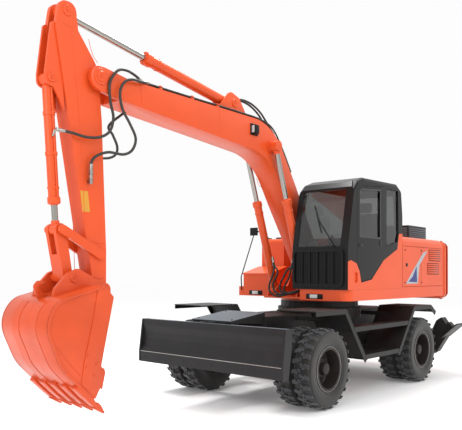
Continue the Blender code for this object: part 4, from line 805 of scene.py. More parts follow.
# ---------------------------------------------------------------- running gear
@dataclass
class TwinWheels:
    """Four twin wheels: treaded tyres, dished rims, hubs and their nuts, all turned about Y."""

    width: float = 0.250
    spacing: float = 0.300
    outer_y: float = 1.245
    rim_radius: float = 0.2885
    rim_seat: float = 0.2612
    bead: float = 0.264
    tread_depth: float = 0.024
    lugs: int = 24
    nuts: int = 10
    hub_bolts: int = 12
    steps: int = 72
    rim_steps: int = 64
    radius: float = field(init=False)

    def __post_init__(self) -> None:
        """Take the tyres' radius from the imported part."""
        low, high = part_box("tyre_front_left_outer")
        self.radius = (high.z - low.z) / 2.0

    def build(self) -> None:
        """Make each tyre and each pair of rims, and hang them on their wheels."""
        pattern, tread = self.tyre()
        # the inner tyre's tread is half a lug round from the outer one's
        rows = (("outer", 0.0, 0.0), ("inner", self.spacing, math.pi / self.lugs))
        for end in ("front", "rear"):
            for side, word in SIDES:
                body = f"wheel_{end}_{word}"
                hub = pivot(f"{body}_roll")
                stand = (Matrix.Translation((hub.x, side * self.outer_y, hub.z))
                         @ Matrix.Rotation(0.0 if side == LEFT else math.pi, 4, "Z"))
                for row, inset, turn in rows:
                    place = stand @ Matrix.Translation((0, -inset, 0)) @ Matrix.Rotation(turn, 4, "Y")
                    where = f"{end}_{word}_{row}"
                    finish(twin_of(pattern, place), f"treaded_tyre_{where}", body, RUBBER,
                           Shading.CRISP, [f"tyre_{where}"])
                    finish(twin_of(tread, place), f"tread_lugs_{where}", body, TREAD, Shading.CRISP)
                rims, ring = self.rims(), self.lock_ring()
                rims.data.transform(stand)
                ring.data.transform(stand)
                finish(rims, f"dished_rims_{end}_{word}", body, RIM_BROWN, Shading.TURNED,
                       [f"rims_{end}_{word}"])
                finish(ring, f"lock_ring_{end}_{word}", body, STEEL, Shading.SMALL)
        bpy.data.objects.remove(pattern)
        bpy.data.objects.remove(tread)

    def tyre(self) -> tuple[bpy.types.Object, bpy.types.Object]:
        """Carcass, and its shoulder lugs with staggered centre blocks, the outer face at y = 0.

        Returns:
            The carcass and the tread, turned about the Y axis.
        """
        half = self.width / 2.0
        base = self.radius - self.tread_depth
        # from the bead out to the edge of the tread: radius, depth below the outer face
        wall = [(self.bead, 0.036), (0.290, 0.022), (0.335, 0.008), (0.385, 0.001), (0.430, 0.002),
                (0.462, 0.010), (base - 0.004, 0.026), (base, 0.045)]
        profile = [(r, -half + d) for r, d in wall] + [(r, half - d) for r, d in wall[::-1]]
        middle, axle = (0, -half, 0), (0, 1, 0)
        carcass = lathe(profile, middle, axle, self.steps)
        ribs = [lathe([(radius, half - depth), (radius + 0.004, half - depth + 0.0035),
                       (radius + 0.009, half - depth)], middle, axle, self.steps)
                for radius, depth in ((0.302, 0.0165), (0.342, 0.007), (0.447, 0.006))]
        shoulder = [(0.020, -0.018), (0.062, -0.050), (0.122, -0.030), (0.1235, 0.020), (0.064, 0.006),
                    (0.028, 0.026)]
        centre = [(-0.034, 0.006), (-0.004, -0.012), (0.010, 0.016), (0.006, 0.050), (-0.028, 0.046)]
        pitch = 360.0 / self.lugs
        parts = []
        for mirror, shoulder_start, centre_start in ((1, 0.0, 0.1), (-1, 0.5, 0.6)):
            for outline, start in ((shoulder, shoulder_start), (centre, centre_start)):
                lug = self.lug(outline, mirror, base - 0.006)
                parts.append(copies(lug, ring_of(self.lugs, (0, 0, 0), axle, pitch * start)))
        return joined([carcass, *ribs]), joined(parts)

    def lug(self, outline: Sequence[Flat], mirror: int, base: float) -> bpy.types.Object:
        """One rubber block of the tread at the top of the tyre.

        Args:
            outline: points (distance from the tread's middle, distance along the tread).
            mirror: 1 or -1, the half of the tread.
            base: radius of its foot.

        Returns:
            The block.
        """
        piece = plate([(u, -mirror * y) for y, u in outline], "z", base, self.radius, 0.0)
        for vert in piece.data.vertices:
            # the top is a little smaller than the foot, and its shoulder end slopes down
            if vert.co.z > base + 0.001:
                edge = max(0.0, abs(vert.co.y) - 0.104)
                vert.co.z -= edge * 0.75 + 0.0005
                vert.co.x *= 0.90
            angle = vert.co.x / self.radius
            radius = vert.co.z
            vert.co.x, vert.co.z = math.sin(angle) * radius, math.cos(angle) * radius
            vert.co.y -= self.width / 2.0
        hold(piece)
        bpy.ops.object.mode_set(mode="EDIT")
        bpy.ops.mesh.select_all(action="SELECT")
        bpy.ops.mesh.normals_make_consistent(inside=False)
        bpy.ops.object.mode_set(mode="OBJECT")
        return ease(piece, 0.0022, 1)

    def rims(self) -> bpy.types.Object:
        """Both rims, the disc between them and the hub drum, the outer face at y = 0.

        Returns:
            The piece.
        """
        seat, edge, second = self.rim_seat, self.rim_radius, self.spacing
        inner, lip, far = seat - 0.014, 0.013, self.width - 0.025
        # radius, depth below the outer face
        half = [(inner, lip), (edge - 0.004, lip), (edge, lip + 0.004), (edge, 0.022),
                (edge - 0.004, 0.024), (seat, 0.030), (seat, far - 0.004), (edge, far), (edge, far + 0.010)]
        back = [(inner, second + far + 0.012), (inner, second + 0.040), (0.165, second + 0.040),
                (0.165, second + 0.180), (0.062, second + 0.180), (0.062, second + 0.080),
                (0.020, second + 0.080)]
        dish = [(0.020, 0.050), (0.052, 0.048), (0.072, 0.056), (0.078, 0.070), (0.082, 0.116),
                (0.118, 0.124), (0.124, 0.150), (0.132, 0.205), (0.150, 0.212), (0.205, 0.196),
                (inner - 0.016, 0.206), (inner, 0.190)]
        rest = [(inner, far + 0.012), (inner, second + lip), *[(r, d + second) for r, d in half[1:]],
                *back, *dish]
        centre, axle = (0, 0, 0), (0, 1, 0)
        drum = lathe([(r, -d) for r, d in half + rest], centre, axle, self.rim_steps)
        cap = lathe([(0.0, -0.046), (0.030, -0.046), (0.040, -0.049), (0.052, -0.060), (0.0, -0.060)],
                    centre, axle, 32)
        nut = screw((0.0, -0.2065, 0.176), axle, 0.013)
        hub_bolt = screw((0.0, -0.119, 0.100), axle, 0.0075)
        return joined([drum, cap, copies(nut, ring_of(self.nuts, centre, axle)),
                       copies(hub_bolt, ring_of(self.hub_bolts, centre, axle, 15))])

    def lock_ring(self) -> bpy.types.Object:
        """Worn bright edge of the outer rim's lock ring.

        Returns:
            The ring, its outer face near y = 0.
        """
        return lathe([(0.2795, -0.0125), (0.2830, -0.0105), (0.2860, -0.0125), (0.2850, -0.0140),
                      (0.2800, -0.0140)],
                     (0, 0, 0), (0, 1, 0), self.rim_steps)


# ---------------------------------------------------------------- hydraulic rams
@dataclass
class Ram:
    """One hydraulic cylinder: barrel with its gland, and a rod with its eye.

    Base and eye are its two pins. Gland and tail are the distances from the base pin to the
    gland's face and to the rod's hidden end, and clamps those to the pipe clamps on the barrel.
    """

    name: str
    base: Vector
    eye: Vector
    gland: float
    tail: float
    radius: float
    bore: float
    rod_radius: float
    base_radius: float
    base_width: float
    eye_radius: float
    eye_width: float
    bodies: tuple[str, str]
    nodes: tuple[str, str]
    look: Finish = ORANGE
    across: Point = (0.0, 1.0, 0.0)
    clamps: tuple[float, ...] = ()
    gland_bolts: int = 8

    def build(self) -> None:
        """Make the barrel, the rod and the painted eye."""
        along, across = (self.eye - self.base).normalized(), Vector(self.across)
        throat = self.base_radius * 0.85
        head, r = self.gland - self.radius * 3.2, self.radius
        wall = throat + r * 0.45
        rise = min(0.010, r * 0.16)
        profile = [(0.001, throat), (r * 0.62, throat), (r * 0.97, throat + 0.022), (r * 0.97, head),
                   (r + rise * 0.4, head + 0.006), (r + rise * 0.4, head + 0.026), (r * 0.97, head + 0.032),
                   (r * 0.97, self.gland - r * 1.3), (r + rise, self.gland - r * 1.25),
                   (r + rise, self.gland - 0.010),
                   (r + rise - 0.006, self.gland - 0.002), (self.bore + 0.008, self.gland - 0.002),
                   (self.bore + 0.004, self.gland + 0.010), (self.bore, self.gland + 0.010),
                   (self.bore, wall), (0.001, wall)]
        barrel = lathe(profile, self.base, along, 48)
        parts = [barrel, boss(self.base, across, self.base_radius, self.base_width),
                 bar(self.base, self.base + along * (throat + 0.03), r * 0.62, 32)]
        # bolts round the gland, standing along the rod
        ring = self.base + along * (self.gland - 0.002)
        bolt = screw(ring + along.cross(across).normalized() * (self.bore + r) * 0.55, along, r * 0.075)
        parts.append(copies(bolt, ring_of(self.gland_bolts, self.base, along, 22)))
        lift = across * (r + 0.010)
        pad = Vector((0.012, 0.012, 0.018))
        for distance in self.clamps:
            middle = self.base + along * distance
            parts.append(lathe([(r * 0.96, -0.018), (r + 0.005, -0.018), (r + 0.005, 0.018),
                                (r * 0.96, 0.018)],
                               middle, along, 40))
            parts.append(block(middle - pad + lift, middle + pad + lift, 0.003))
        if self.clamps:
            parts.append(bar(self.base + along * (self.clamps[0] - 0.25) + lift,
                             self.base + along * (self.gland - r) + lift, 0.008, 16))
        finish(joined(parts), f"{self.name}_barrel", self.bodies[0], self.look, Shading.CRISP,
               self.nodes[:1])
        rod = bar(self.base + along * self.tail, self.eye - along * self.eye_radius * 0.6, self.rod_radius,
                  40)
        finish(rod, f"{self.name}_chrome_rod", self.bodies[1], CHROME, Shading.CRISP, self.nodes[1:])
        eye = boss(self.eye, across, self.eye_radius, self.eye_width)
        collar = bar(self.eye - along * (self.eye_radius + 0.035), self.eye, self.rod_radius * 1.3, 32,
                     0.004)
        finish(joined([eye, collar]), f"{self.name}_rod_eye", self.bodies[1], self.look, Shading.CRISP)


def build_rams() -> None:
    """All the machine's hydraulic cylinders."""
    for side, word in SIDES:
        y = side * 0.265
        Ram(f"boom_ram_{word}", pin_at(BOOM_RAM_FOOT, y), pin_at(BOOM_RAM_EYE, y), gland=1.390, tail=0.790,
            radius=0.060, bore=0.0365, rod_radius=0.0355, base_radius=0.062, base_width=0.120,
            eye_radius=0.075, eye_width=0.120, bodies=("boom_barrels", "boom_rods"),
            nodes=(f"boom_cylinder_barrel_{word}", f"boom_cylinder_rod_{word}")).build()
        base, eye = Vector((-2.0, side * 0.140, 0.980)), Vector((-2.0, side * 0.880, 0.590))
        both = (f"outrigger_barrel_{word}", f"outrigger_rod_{word}")
        Ram(f"outrigger_ram_{word}", base, eye, gland=(eye - base).length * 0.73, tail=0.22,
            radius=0.0387, bore=0.0288, rod_radius=0.0275, base_radius=0.050, base_width=0.169,
            eye_radius=0.042, eye_width=0.095, bodies=both, nodes=both, look=FRAME_BLACK,
            across=(1.0, 0.0, 0.0)).build()
    Ram("arm_ram", pin_at(ARM_RAM_FOOT), pin_at(ARM_RAM_EYE), gland=1.520, tail=1.130,
        radius=0.070, bore=0.0385, rod_radius=0.0375, base_radius=0.078, base_width=0.148,
        eye_radius=0.075, eye_width=0.099, bodies=("arm_barrel", "arm_rod"),
        nodes=("arm_cylinder_barrel", "arm_cylinder_rod")).build()
    Ram("bucket_ram", pin_at(BUCKET_RAM_FOOT), pin_at(BUCKET_RAM_EYE), gland=1.250, tail=0.310,
        radius=0.056, bore=0.0338, rod_radius=0.0325, base_radius=0.064, base_width=0.113,
        eye_radius=0.055, eye_width=0.089, bodies=("bucket_barrel", "bucket_rod"),
        nodes=("bucket_cylinder_barrel", "bucket_cylinder_rod"), clamps=(0.345, 0.745)).build()
    Ram("blade_ram", pin_at(BLADE_RAM_FOOT), pin_at(BLADE_RAM_EYE), gland=0.590, tail=0.110,
        radius=0.038, bore=0.0248, rod_radius=0.0235, base_radius=0.045, base_width=0.079,
        eye_radius=0.036, eye_width=0.079, bodies=("blade_barrel", "blade_rod"),
        nodes=("blade_cylinder_barrel", "blade_cylinder_rod"), look=FRAME_BLACK).build()


# ---------------------------------------------------------------- working gear
@dataclass
class Boom:
    """Bent box boom with its lugs, pin caps, pipes and clamps."""

    half: float = 0.180
    slot_half: float = 0.1355
    foot: Flat = BOOM_FOOT
    tip: Flat = BOOM_TIP
    ram_eye: Flat = BOOM_RAM_EYE
    bracket: Flat = ARM_RAM_FOOT

    def build(self) -> None:
        """Make the box, then what is fixed on it."""
        (foot_x, foot_z), (tip_x, tip_z) = self.foot, self.tip
        outline = rounded([
            (foot_x - 0.115, foot_z - 0.110, 0.11), (foot_x + 0.095, foot_z - 0.125, 0.11),
            (0.790, 2.270), (1.120, 2.730), (1.545, 3.360, 0.85), (2.510, 3.440),
            (tip_x - 0.160, tip_z - 0.180), (tip_x + 0.115, tip_z - 0.120, 0.11),
            (tip_x + 0.115, tip_z + 0.112, 0.11), (tip_x - 0.060, tip_z + 0.110), (4.090, 3.825),
            (1.490, 3.825, 0.79), (0.930, 3.020), (foot_x - 0.118, foot_z + 0.060)], 14)
        box = plate(outline, "y", -self.half, self.half)
        cut(box, block((tip_x - 0.270, -self.slot_half, 3.0), (5.2, self.slot_half, 4.3), 0.0))
        ease(box, 0.005, 2)
        finish(box, "boom_box", "boom", ORANGE, Shading.BENT_SHEET, ["boom"])
        parts = []
        for side in (LEFT, RIGHT):
            wall = side * self.half
            for (x, z), radius, reach in ((self.ram_eye, 0.092, 0.024), (self.tip, 0.086, 0.012)):
                parts.append(lathe([(0.001, -0.01), (radius, -0.01), (radius, reach - 0.003),
                                    (radius - 0.003, reach),
                                    (0.001, reach)], (x, wall, z), (0, side, 0), 48))
            parts.append(pin_cap((tip_x, wall + side * 0.012, tip_z), side, 0.055, 0.010))
            base_x, base_z = self.bracket
            ear = rounded([(base_x - 0.290, 3.810), (base_x - 0.100, base_z + 0.090, 0.10),
                           (base_x + 0.090, base_z + 0.150, 0.10), (base_x + 0.360, 3.810)], 10)
            parts.append(side_plate(ear, side, 0.075, 0.101, 0.004))
            parts.append(pin_cap((base_x, side * 0.101, base_z), side, 0.050, 0.012))
        finish(joined(parts), "boom_lugs", "boom", ORANGE, Shading.TURNED)
        lines = ([(3.92, 3.60), (3.93, 3.80)], [(1.17, 3.02), (1.32, 2.99), (1.40, 3.10)],
                 [(2.62, 3.46), (2.60, 3.62), (2.62, 3.80)])
        welds = [bead for side in (LEFT, RIGHT)
                 for bead in weld_beads(lines, side * (self.half + 0.0005), 0.0032)]
        finish(joined(welds), "boom_weld_beads", "boom", ORANGE, Shading.ROUND)
        self.pipes()

    def pipes(self) -> None:
        """Steel pipes along the boom's top with their clamps, and the lamp by the bend."""
        pipes, clamps = [], []
        for y in (0.045, 0.085, 0.125, 0.160):
            start = (3.86 if y > 0.1 else 3.72, y, 3.852)
            pipes.append(hose([start, (3.0, y, 3.850), (2.62, y, 3.852), (2.2, y, 3.850), (1.74, y, 3.838),
                               (1.45, y, 3.748), (1.21, y, 3.475), (1.02, y, 3.20)], 0.011))
        finish(joined(pipes), "boom_pipes", "boom", HOSE_RUBBER, Shading.ROUND)
        for x in (3.62, 3.10, 2.64):
            clamps.append(block((x - 0.022, 0.028, 3.822), (x + 0.022, 0.178, 3.843), 0.003))
            clamps.append(block((x - 0.018, 0.028, 3.852), (x + 0.018, 0.178, 3.869), 0.004))
            clamps += [screw((x, y, 3.869), (0, 0, 1), 0.007) for y in (0.065, 0.143)]
        finish(joined(clamps), "pipe_clamps", "boom", ORANGE)
        y = self.half
        lamp = joined([block((1.865, y - 0.001, 3.600), (1.970, y + 0.060, 3.725), 0.012),
                       block((1.835, y - 0.001, 3.585), (1.995, y + 0.010, 3.740), 0.004)])
        finish(lamp, "boom_lamp", "boom", CAB_BLACK, Shading.TURNED)
        finish(block((1.969, y + 0.010, 3.615), (1.9745, y + 0.052, 3.710), 0.002), "boom_lamp_lens",
               "boom", LAMP_GLASS, Shading.TURNED)
        feeds = [hose([(2.14, lane, 4.03), (2.00, lane, 4.085), (1.78, lane, 4.075), (1.58, lane, 4.00),
                       (1.42, lane, 3.88), (1.28, lane + 0.02, 3.72), (1.17, lane + 0.03, 3.52),
                       (1.06, lane + 0.03, 3.34)], 0.014) for lane in (-0.04, 0.015)]
        finish(joined(feeds), "arm_ram_feed_hoses", "boom", HOSE_RUBBER, Shading.ROUND)


@dataclass
class Arm:
    """Fittings of the arm: caps, weld beads, blank plate and the fitting for its hose."""

    half: float = 0.100

    def build(self) -> None:
        """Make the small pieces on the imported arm."""
        parts, welds = [], []
        for side in (LEFT, RIGHT):
            for pin, y, radius in ((ARM_RAM_EYE, self.half, 0.058), (BUCKET_RAM_FOOT, 0.0835, 0.045)):
                parts.append(pin_cap(pin_at(pin, side * y), side, radius, 0.012))
            welds += weld_beads(
                ([(4.735, 4.235), (4.80, 4.215), (4.87, 4.215), (4.94, 4.25)],
                 [(4.79, 4.19), (4.76, 3.9), (4.70, 3.4), (4.66, 3.0), (4.61, 2.3), (4.58, 1.75)],
                 [(4.46, 3.93), (4.52, 3.99), (4.56, 4.08), (4.58, 4.15)]), side * (self.half + 0.0005),
                 0.0030)
        for start, z in ((4.34, 2.03), (4.36, 1.66)):
            welds += weld_beads(([(start, z), (4.40, z - 0.01), (4.49, z + 0.015)],), self.half + 0.0005,
                                0.0032)
        finish(joined(parts), "arm_pin_caps", "arm", ORANGE, Shading.TURNED)
        finish(joined(welds), "arm_weld_beads", "arm", ORANGE, Shading.ROUND)
        label = plate(rounded([(4.540, 2.345, 0.006), (4.635, 2.345, 0.006), (4.665, 2.560, 0.006),
                               (4.570, 2.560, 0.006)], 4), "y", self.half - 0.0005, self.half + 0.0012)
        finish(label, "blank_yellow_plate", "arm", PLATE_YELLOW, Shading.CRISP)
        x, y = 4.565, self.half + 0.045
        fitting = joined([bar((x, self.half - 0.002, 2.66), (x, y + 0.010, 2.66), 0.020, 6, 0.002),
                          bar((x, y, 2.63), (x, y, 2.77), 0.017, 24, 0.002),
                          *(bar((x, y, z), (x, y, z + 0.028), 0.024, 6, 0.002) for z in (2.672, 2.725))])
        finish(fitting, "arm_hose_fitting", "arm", STEEL, Shading.TURNED)


@dataclass
class Bucket:
    """Digging bucket: rounded shell, side plates, wear strips, adapters and pointed teeth."""

    half: float = 0.420
    sheet: float = 0.022
    ear_y: float = 0.150
    teeth: int = 5

    def build(self) -> None:
        """Make the shell and everything welded or bolted to it."""
        back = rounded([(4.580, 1.588), (5.105, 1.460, 0.24), (5.275, 1.240, 0.30), (5.075, 0.800, 0.50),
                        (4.880, 0.612)], 14)
        inner = offset(back, -self.sheet)
        shell = plate(back + inner[::-1], "y", -self.half + 0.004, self.half - 0.004, 0.0)
        ease(shell, 0.003, 2)
        side_view = [(4.470, 1.470)] + back + [(4.690, 0.470), (4.655, 0.520), (4.600, 0.610),
                                               (4.640, 0.800)]
        parts = [shell]
        strip = [(4.465, 1.470), (4.560, 1.570), (4.665, 1.545), (4.730, 1.200), (4.820, 0.840),
                 (4.850, 0.640), (4.680, 0.475), (4.655, 0.520), (4.600, 0.610), (4.612, 0.800)]
        for side in (LEFT, RIGHT):
            parts.append(side_plate(side_view, side, self.half - 0.015, self.half - 0.033, 0.003))
            # reinforced edge along the mouth, proud of the side plate
            parts.append(side_plate(strip, side, self.half - 0.026, self.half - 0.007, 0.003))
            # weld ridge across the side plate's lower corner
            y = side * (self.half - 0.0145)
            parts.append(hose([(5.130, y, 1.030), (5.010, y, 0.880), (4.860, y, 0.720)], 0.004))
        line = [p for p in back if p[1] < 1.44]
        for y in (-0.150, 0.150):
            parts.append(plate(offset(line, 0.0035) + line[::-1], "y", y - 0.060, y + 0.060, 0.0))
        parts += self.ears()
        finish(joined(parts), "bucket_shell", "bucket", WEATHERED_ORANGE, Shading.CRISP, ["bucket"])
        self.mouth()

    def ears(self) -> list[bpy.types.Object]:
        """The two plates that the arm and the link pivot in, with their bosses and the lifting hook.

        Returns:
            The pieces.
        """
        outline = rounded([(4.330, 1.420, 0.07), (4.490, 1.415, 0.03), (4.620, 1.500), (5.040, 1.430),
                           (5.010, 1.560, 0.02), (4.860, 1.715, 0.05), (4.740, 1.760, 0.06), (4.530, 1.660),
                           (4.330, 1.590, 0.07)], 8)
        pieces = []
        for side in (LEFT, RIGHT):
            pieces.append(side_plate(outline, side, self.ear_y, self.ear_y + 0.040, 0.004))
            for x, z, radius in ((4.410, 1.500, 0.062), (4.790, 1.665, 0.050)):
                pieces.append(pin_cap((x, side * (self.ear_y + 0.040), z), side, radius, 0.014))
        hook = rounded([(4.965, 1.480), (5.080, 1.440), (5.125, 1.500, 0.04), (5.150, 1.590, 0.05),
                        (5.100, 1.640, 0.04),
                        (5.020, 1.625, 0.02), (5.025, 1.605, 0.006), (5.085, 1.600, 0.02),
                        (5.095, 1.550, 0.03), (5.040, 1.510, 0.03)], 8)
        pieces.append(plate(hook, "y", 0.018, 0.042, 0.005))
        return pieces

    def mouth(self) -> None:
        """Lip, teeth on their adapters, and the bolted side cutters."""
        # the lip plate carries the adapters, and the points stand free of it
        lip = plate([(4.885, 0.604), (4.740, 0.462), (4.715, 0.488), (4.862, 0.634)], "y",
                    -self.half + 0.016, self.half - 0.016, 0.003)
        parts = [lip]
        adapter = [(4.905, 0.594), (4.760, 0.458), (4.672, 0.380), (4.640, 0.408), (4.690, 0.470),
                   (4.870, 0.640)]
        pitch = 2.0 * (self.half - 0.052) / (self.teeth - 1)
        places = [-self.half + 0.052 + index * pitch for index in range(self.teeth)]
        for y in places:
            nose = plate(adapter, "y", y - 0.050, y + 0.050)
            for vert in nose.data.vertices:
                reach = max(0.0, min(1.0, (4.860 - vert.co.x) / 0.200))
                vert.co.y = y + (vert.co.y - y) * (1.0 - 0.28 * reach)
            parts.append(ease(nose, 0.006, 2))
        cutter = [(4.740, 0.530), (4.745, 0.760), (4.610, 0.785), (4.560, 0.755), (4.5475, 0.715),
                  (4.585, 0.552), (4.655, 0.600), (4.690, 0.520)]
        parts += [side_plate(cutter, side, self.half - 0.0265, self.half - 0.0485, 0.003)
                  for side in (LEFT, RIGHT)]
        finish(joined(parts), "bucket_mouth", "bucket", WEATHERED_ORANGE, Shading.CRISP)
        points = []
        for y in places:
            point = plate([(4.686, 0.378), (4.640, 0.432), (4.600, 0.398), (4.5465, 0.316),
                           (4.5600, 0.3055)],
                          "y", y - 0.037, y + 0.037)
            for vert in point.data.vertices:
                # the point narrows towards its tip
                reach = max(0.0, min(1.0, (4.650 - vert.co.x) / 0.100))
                vert.co.y = y + (vert.co.y - y) * (1.0 - 0.45 * reach)
            points.append(ease(point, 0.003, 2))
        finish(joined(points), "bucket_teeth", "bucket", WEATHERED_ORANGE, Shading.CRISP)
        bolts = []
        for side in (LEFT, RIGHT):
            for x, z in ((4.772, 0.909), (4.672, 0.812), (4.790, 0.793), (4.703, 0.707)):
                bolts.append(lathe([(0.001, -0.012), (0.017, -0.012), (0.016, -0.002), (0.009, 0.0),
                                    (0.001, 0.0)],
                                   (x, side * self.half, z), (0, side, 0), 20))
        finish(joined(bolts), "cutter_bolts", "bucket", WEATHERED_ORANGE, Shading.SMALL)


@dataclass
class Hoses:
    """Flexible hoses at the boom's tip and at the boom cylinders' feet, with crimped steel ends."""

    radius: float = 0.015

    def build(self) -> None:
        """Make each hose along its route across the joint, and its fittings."""
        # from the boom's pipes to the bucket cylinder's port and to the arm's side
        upper = [(3.92, 0.170, 3.855), (4.03, 0.195, 3.885), (4.16, 0.205, 3.905), (4.28, 0.205, 3.870),
                 (4.38, 0.205, 3.72), (4.37, 0.205, 3.52), (4.33, 0.205, 3.36), (4.37, 0.200, 3.21),
                 (4.48, 0.180, 3.13), (4.64, 0.165, 3.105), (4.80, 0.140, 3.125), (4.93, 0.110, 3.135)]
        lower = [(3.84, 0.172, 3.850), (3.96, 0.215, 3.825), (4.10, 0.235, 3.815), (4.21, 0.240, 3.76),
                 (4.27, 0.240, 3.64), (4.24, 0.240, 3.47), (4.13, 0.240, 3.32), (4.05, 0.240, 3.18),
                 (4.09, 0.235, 3.05), (4.20, 0.220, 2.985), (4.38, 0.190, 2.985), (4.51, 0.160, 2.930),
                 (4.562, 0.146, 2.86), (4.565, 0.145, 2.78)]
        behind = [(3.90, -0.120, 3.56), (4.10, -0.160, 3.37), (4.02, -0.190, 3.28), (3.95, -0.200, 3.17),
                  (3.96, -0.200, 3.08), (4.05, -0.190, 3.02), (4.20, -0.170, 2.99), (4.40, -0.150, 2.985),
                  (4.56, -0.135, 2.94), (4.60, -0.110, 2.86)]
        start, end = Vector((4.15, 0, 3.72)), Vector((4.50, 0, 3.25))
        for name, route in (("upper", upper), ("lower", lower), ("behind", behind)):
            finish(hose(route, self.radius), f"tip_hose_{name}", "boom", HOSE_RUBBER, Shading.ROUND,
                   blend=("arm", start, end))
        ends = [self.crimp(route[0], route[2]) for route in (upper, lower)]
        finish(joined(ends), "boom_hose_ends", "boom", STEEL)
        elbow = hose([(4.90, 0.112, 3.135), (4.945, 0.106, 3.135), (4.972, 0.100, 3.125),
                      (4.980, 0.090, 3.095), (4.975, 0.072, 3.075)], 0.012)
        arm_ends = [self.crimp(route[-1], route[-2]) for route in (upper, lower, behind)]
        arm_ends += [elbow, bar((4.60, -0.098, 2.85), (4.60, -0.120, 2.86), 0.018, 24, 0.002)]
        finish(joined(arm_ends), "arm_hose_ends", "arm", STEEL)
        self.ram_hoses()

    def crimp(self, at: Sequence[float], towards: Sequence[float]) -> bpy.types.Object:
        """Crimped sleeve with its nut at a hose's end.

        Args:
            at: the hose's end.
            towards: a point that the hose runs towards.

        Returns:
            The piece.
        """
        at = Vector(at)
        along = (Vector(towards) - at).normalized()
        return joined([bar(at - along * 0.012, at + along * 0.060, self.radius + 0.0035, 24, 0.002),
                       bar(at - along * 0.035, at - along * 0.008, self.radius + 0.006, 6, 0.002)])

    def ram_hoses(self) -> None:
        """Four hoses that hang in front of the deck and turn in under the cab, with their ends."""
        routes = [
            [(0.985, -0.186, 1.93), (1.00, -0.150, 1.80), (1.02, -0.170, 1.68), (1.03, -0.215, 1.56),
             (1.03, -0.215, 1.46), (1.02, -0.14, 1.40), (1.00, -0.03, 1.385), (0.96, 0.10, 1.42),
             (0.90, 0.20, 1.44)],
            [(0.960, -0.186, 1.84), (1.00, -0.090, 1.76), (1.01, -0.10, 1.67), (1.02, -0.155, 1.57),
             (1.02, -0.14, 1.47), (1.01, -0.06, 1.415), (0.98, 0.04, 1.42), (0.92, 0.14, 1.45),
             (0.88, 0.22, 1.46)],
            [(0.960, 0.186, 1.84), (1.00, 0.090, 1.77), (1.01, 0.04, 1.68), (1.02, -0.015, 1.58),
             (1.02, -0.03, 1.49), (1.00, 0.03, 1.43), (0.96, 0.12, 1.44), (0.90, 0.21, 1.47)],
            [(0.985, 0.186, 1.93), (1.00, 0.160, 1.80), (1.00, 0.12, 1.66), (1.00, 0.05, 1.55),
             (1.00, 0.03, 1.47), (0.98, 0.09, 1.42), (0.93, 0.17, 1.44), (0.88, 0.23, 1.47)]]
        finish(joined([hose(route, self.radius) for route in routes]), "ram_feed_hoses", "upper",
               HOSE_RUBBER, Shading.ROUND,
               blend=("boom_barrels", Vector((0.98, 0.0, 1.42)), Vector((1.01, 0.0, 1.86))))
        ends = [self.crimp(route[0], route[1]) for route in routes]
        for route in routes:
            top = Vector(route[0])
            ends.append(bar(top, (top.x, math.copysign(0.210, top.y), top.z), 0.017, 24, 0.002))
        finish(joined(ends), "ram_feed_ends", "boom_barrels", STEEL, Shading.SMALL)


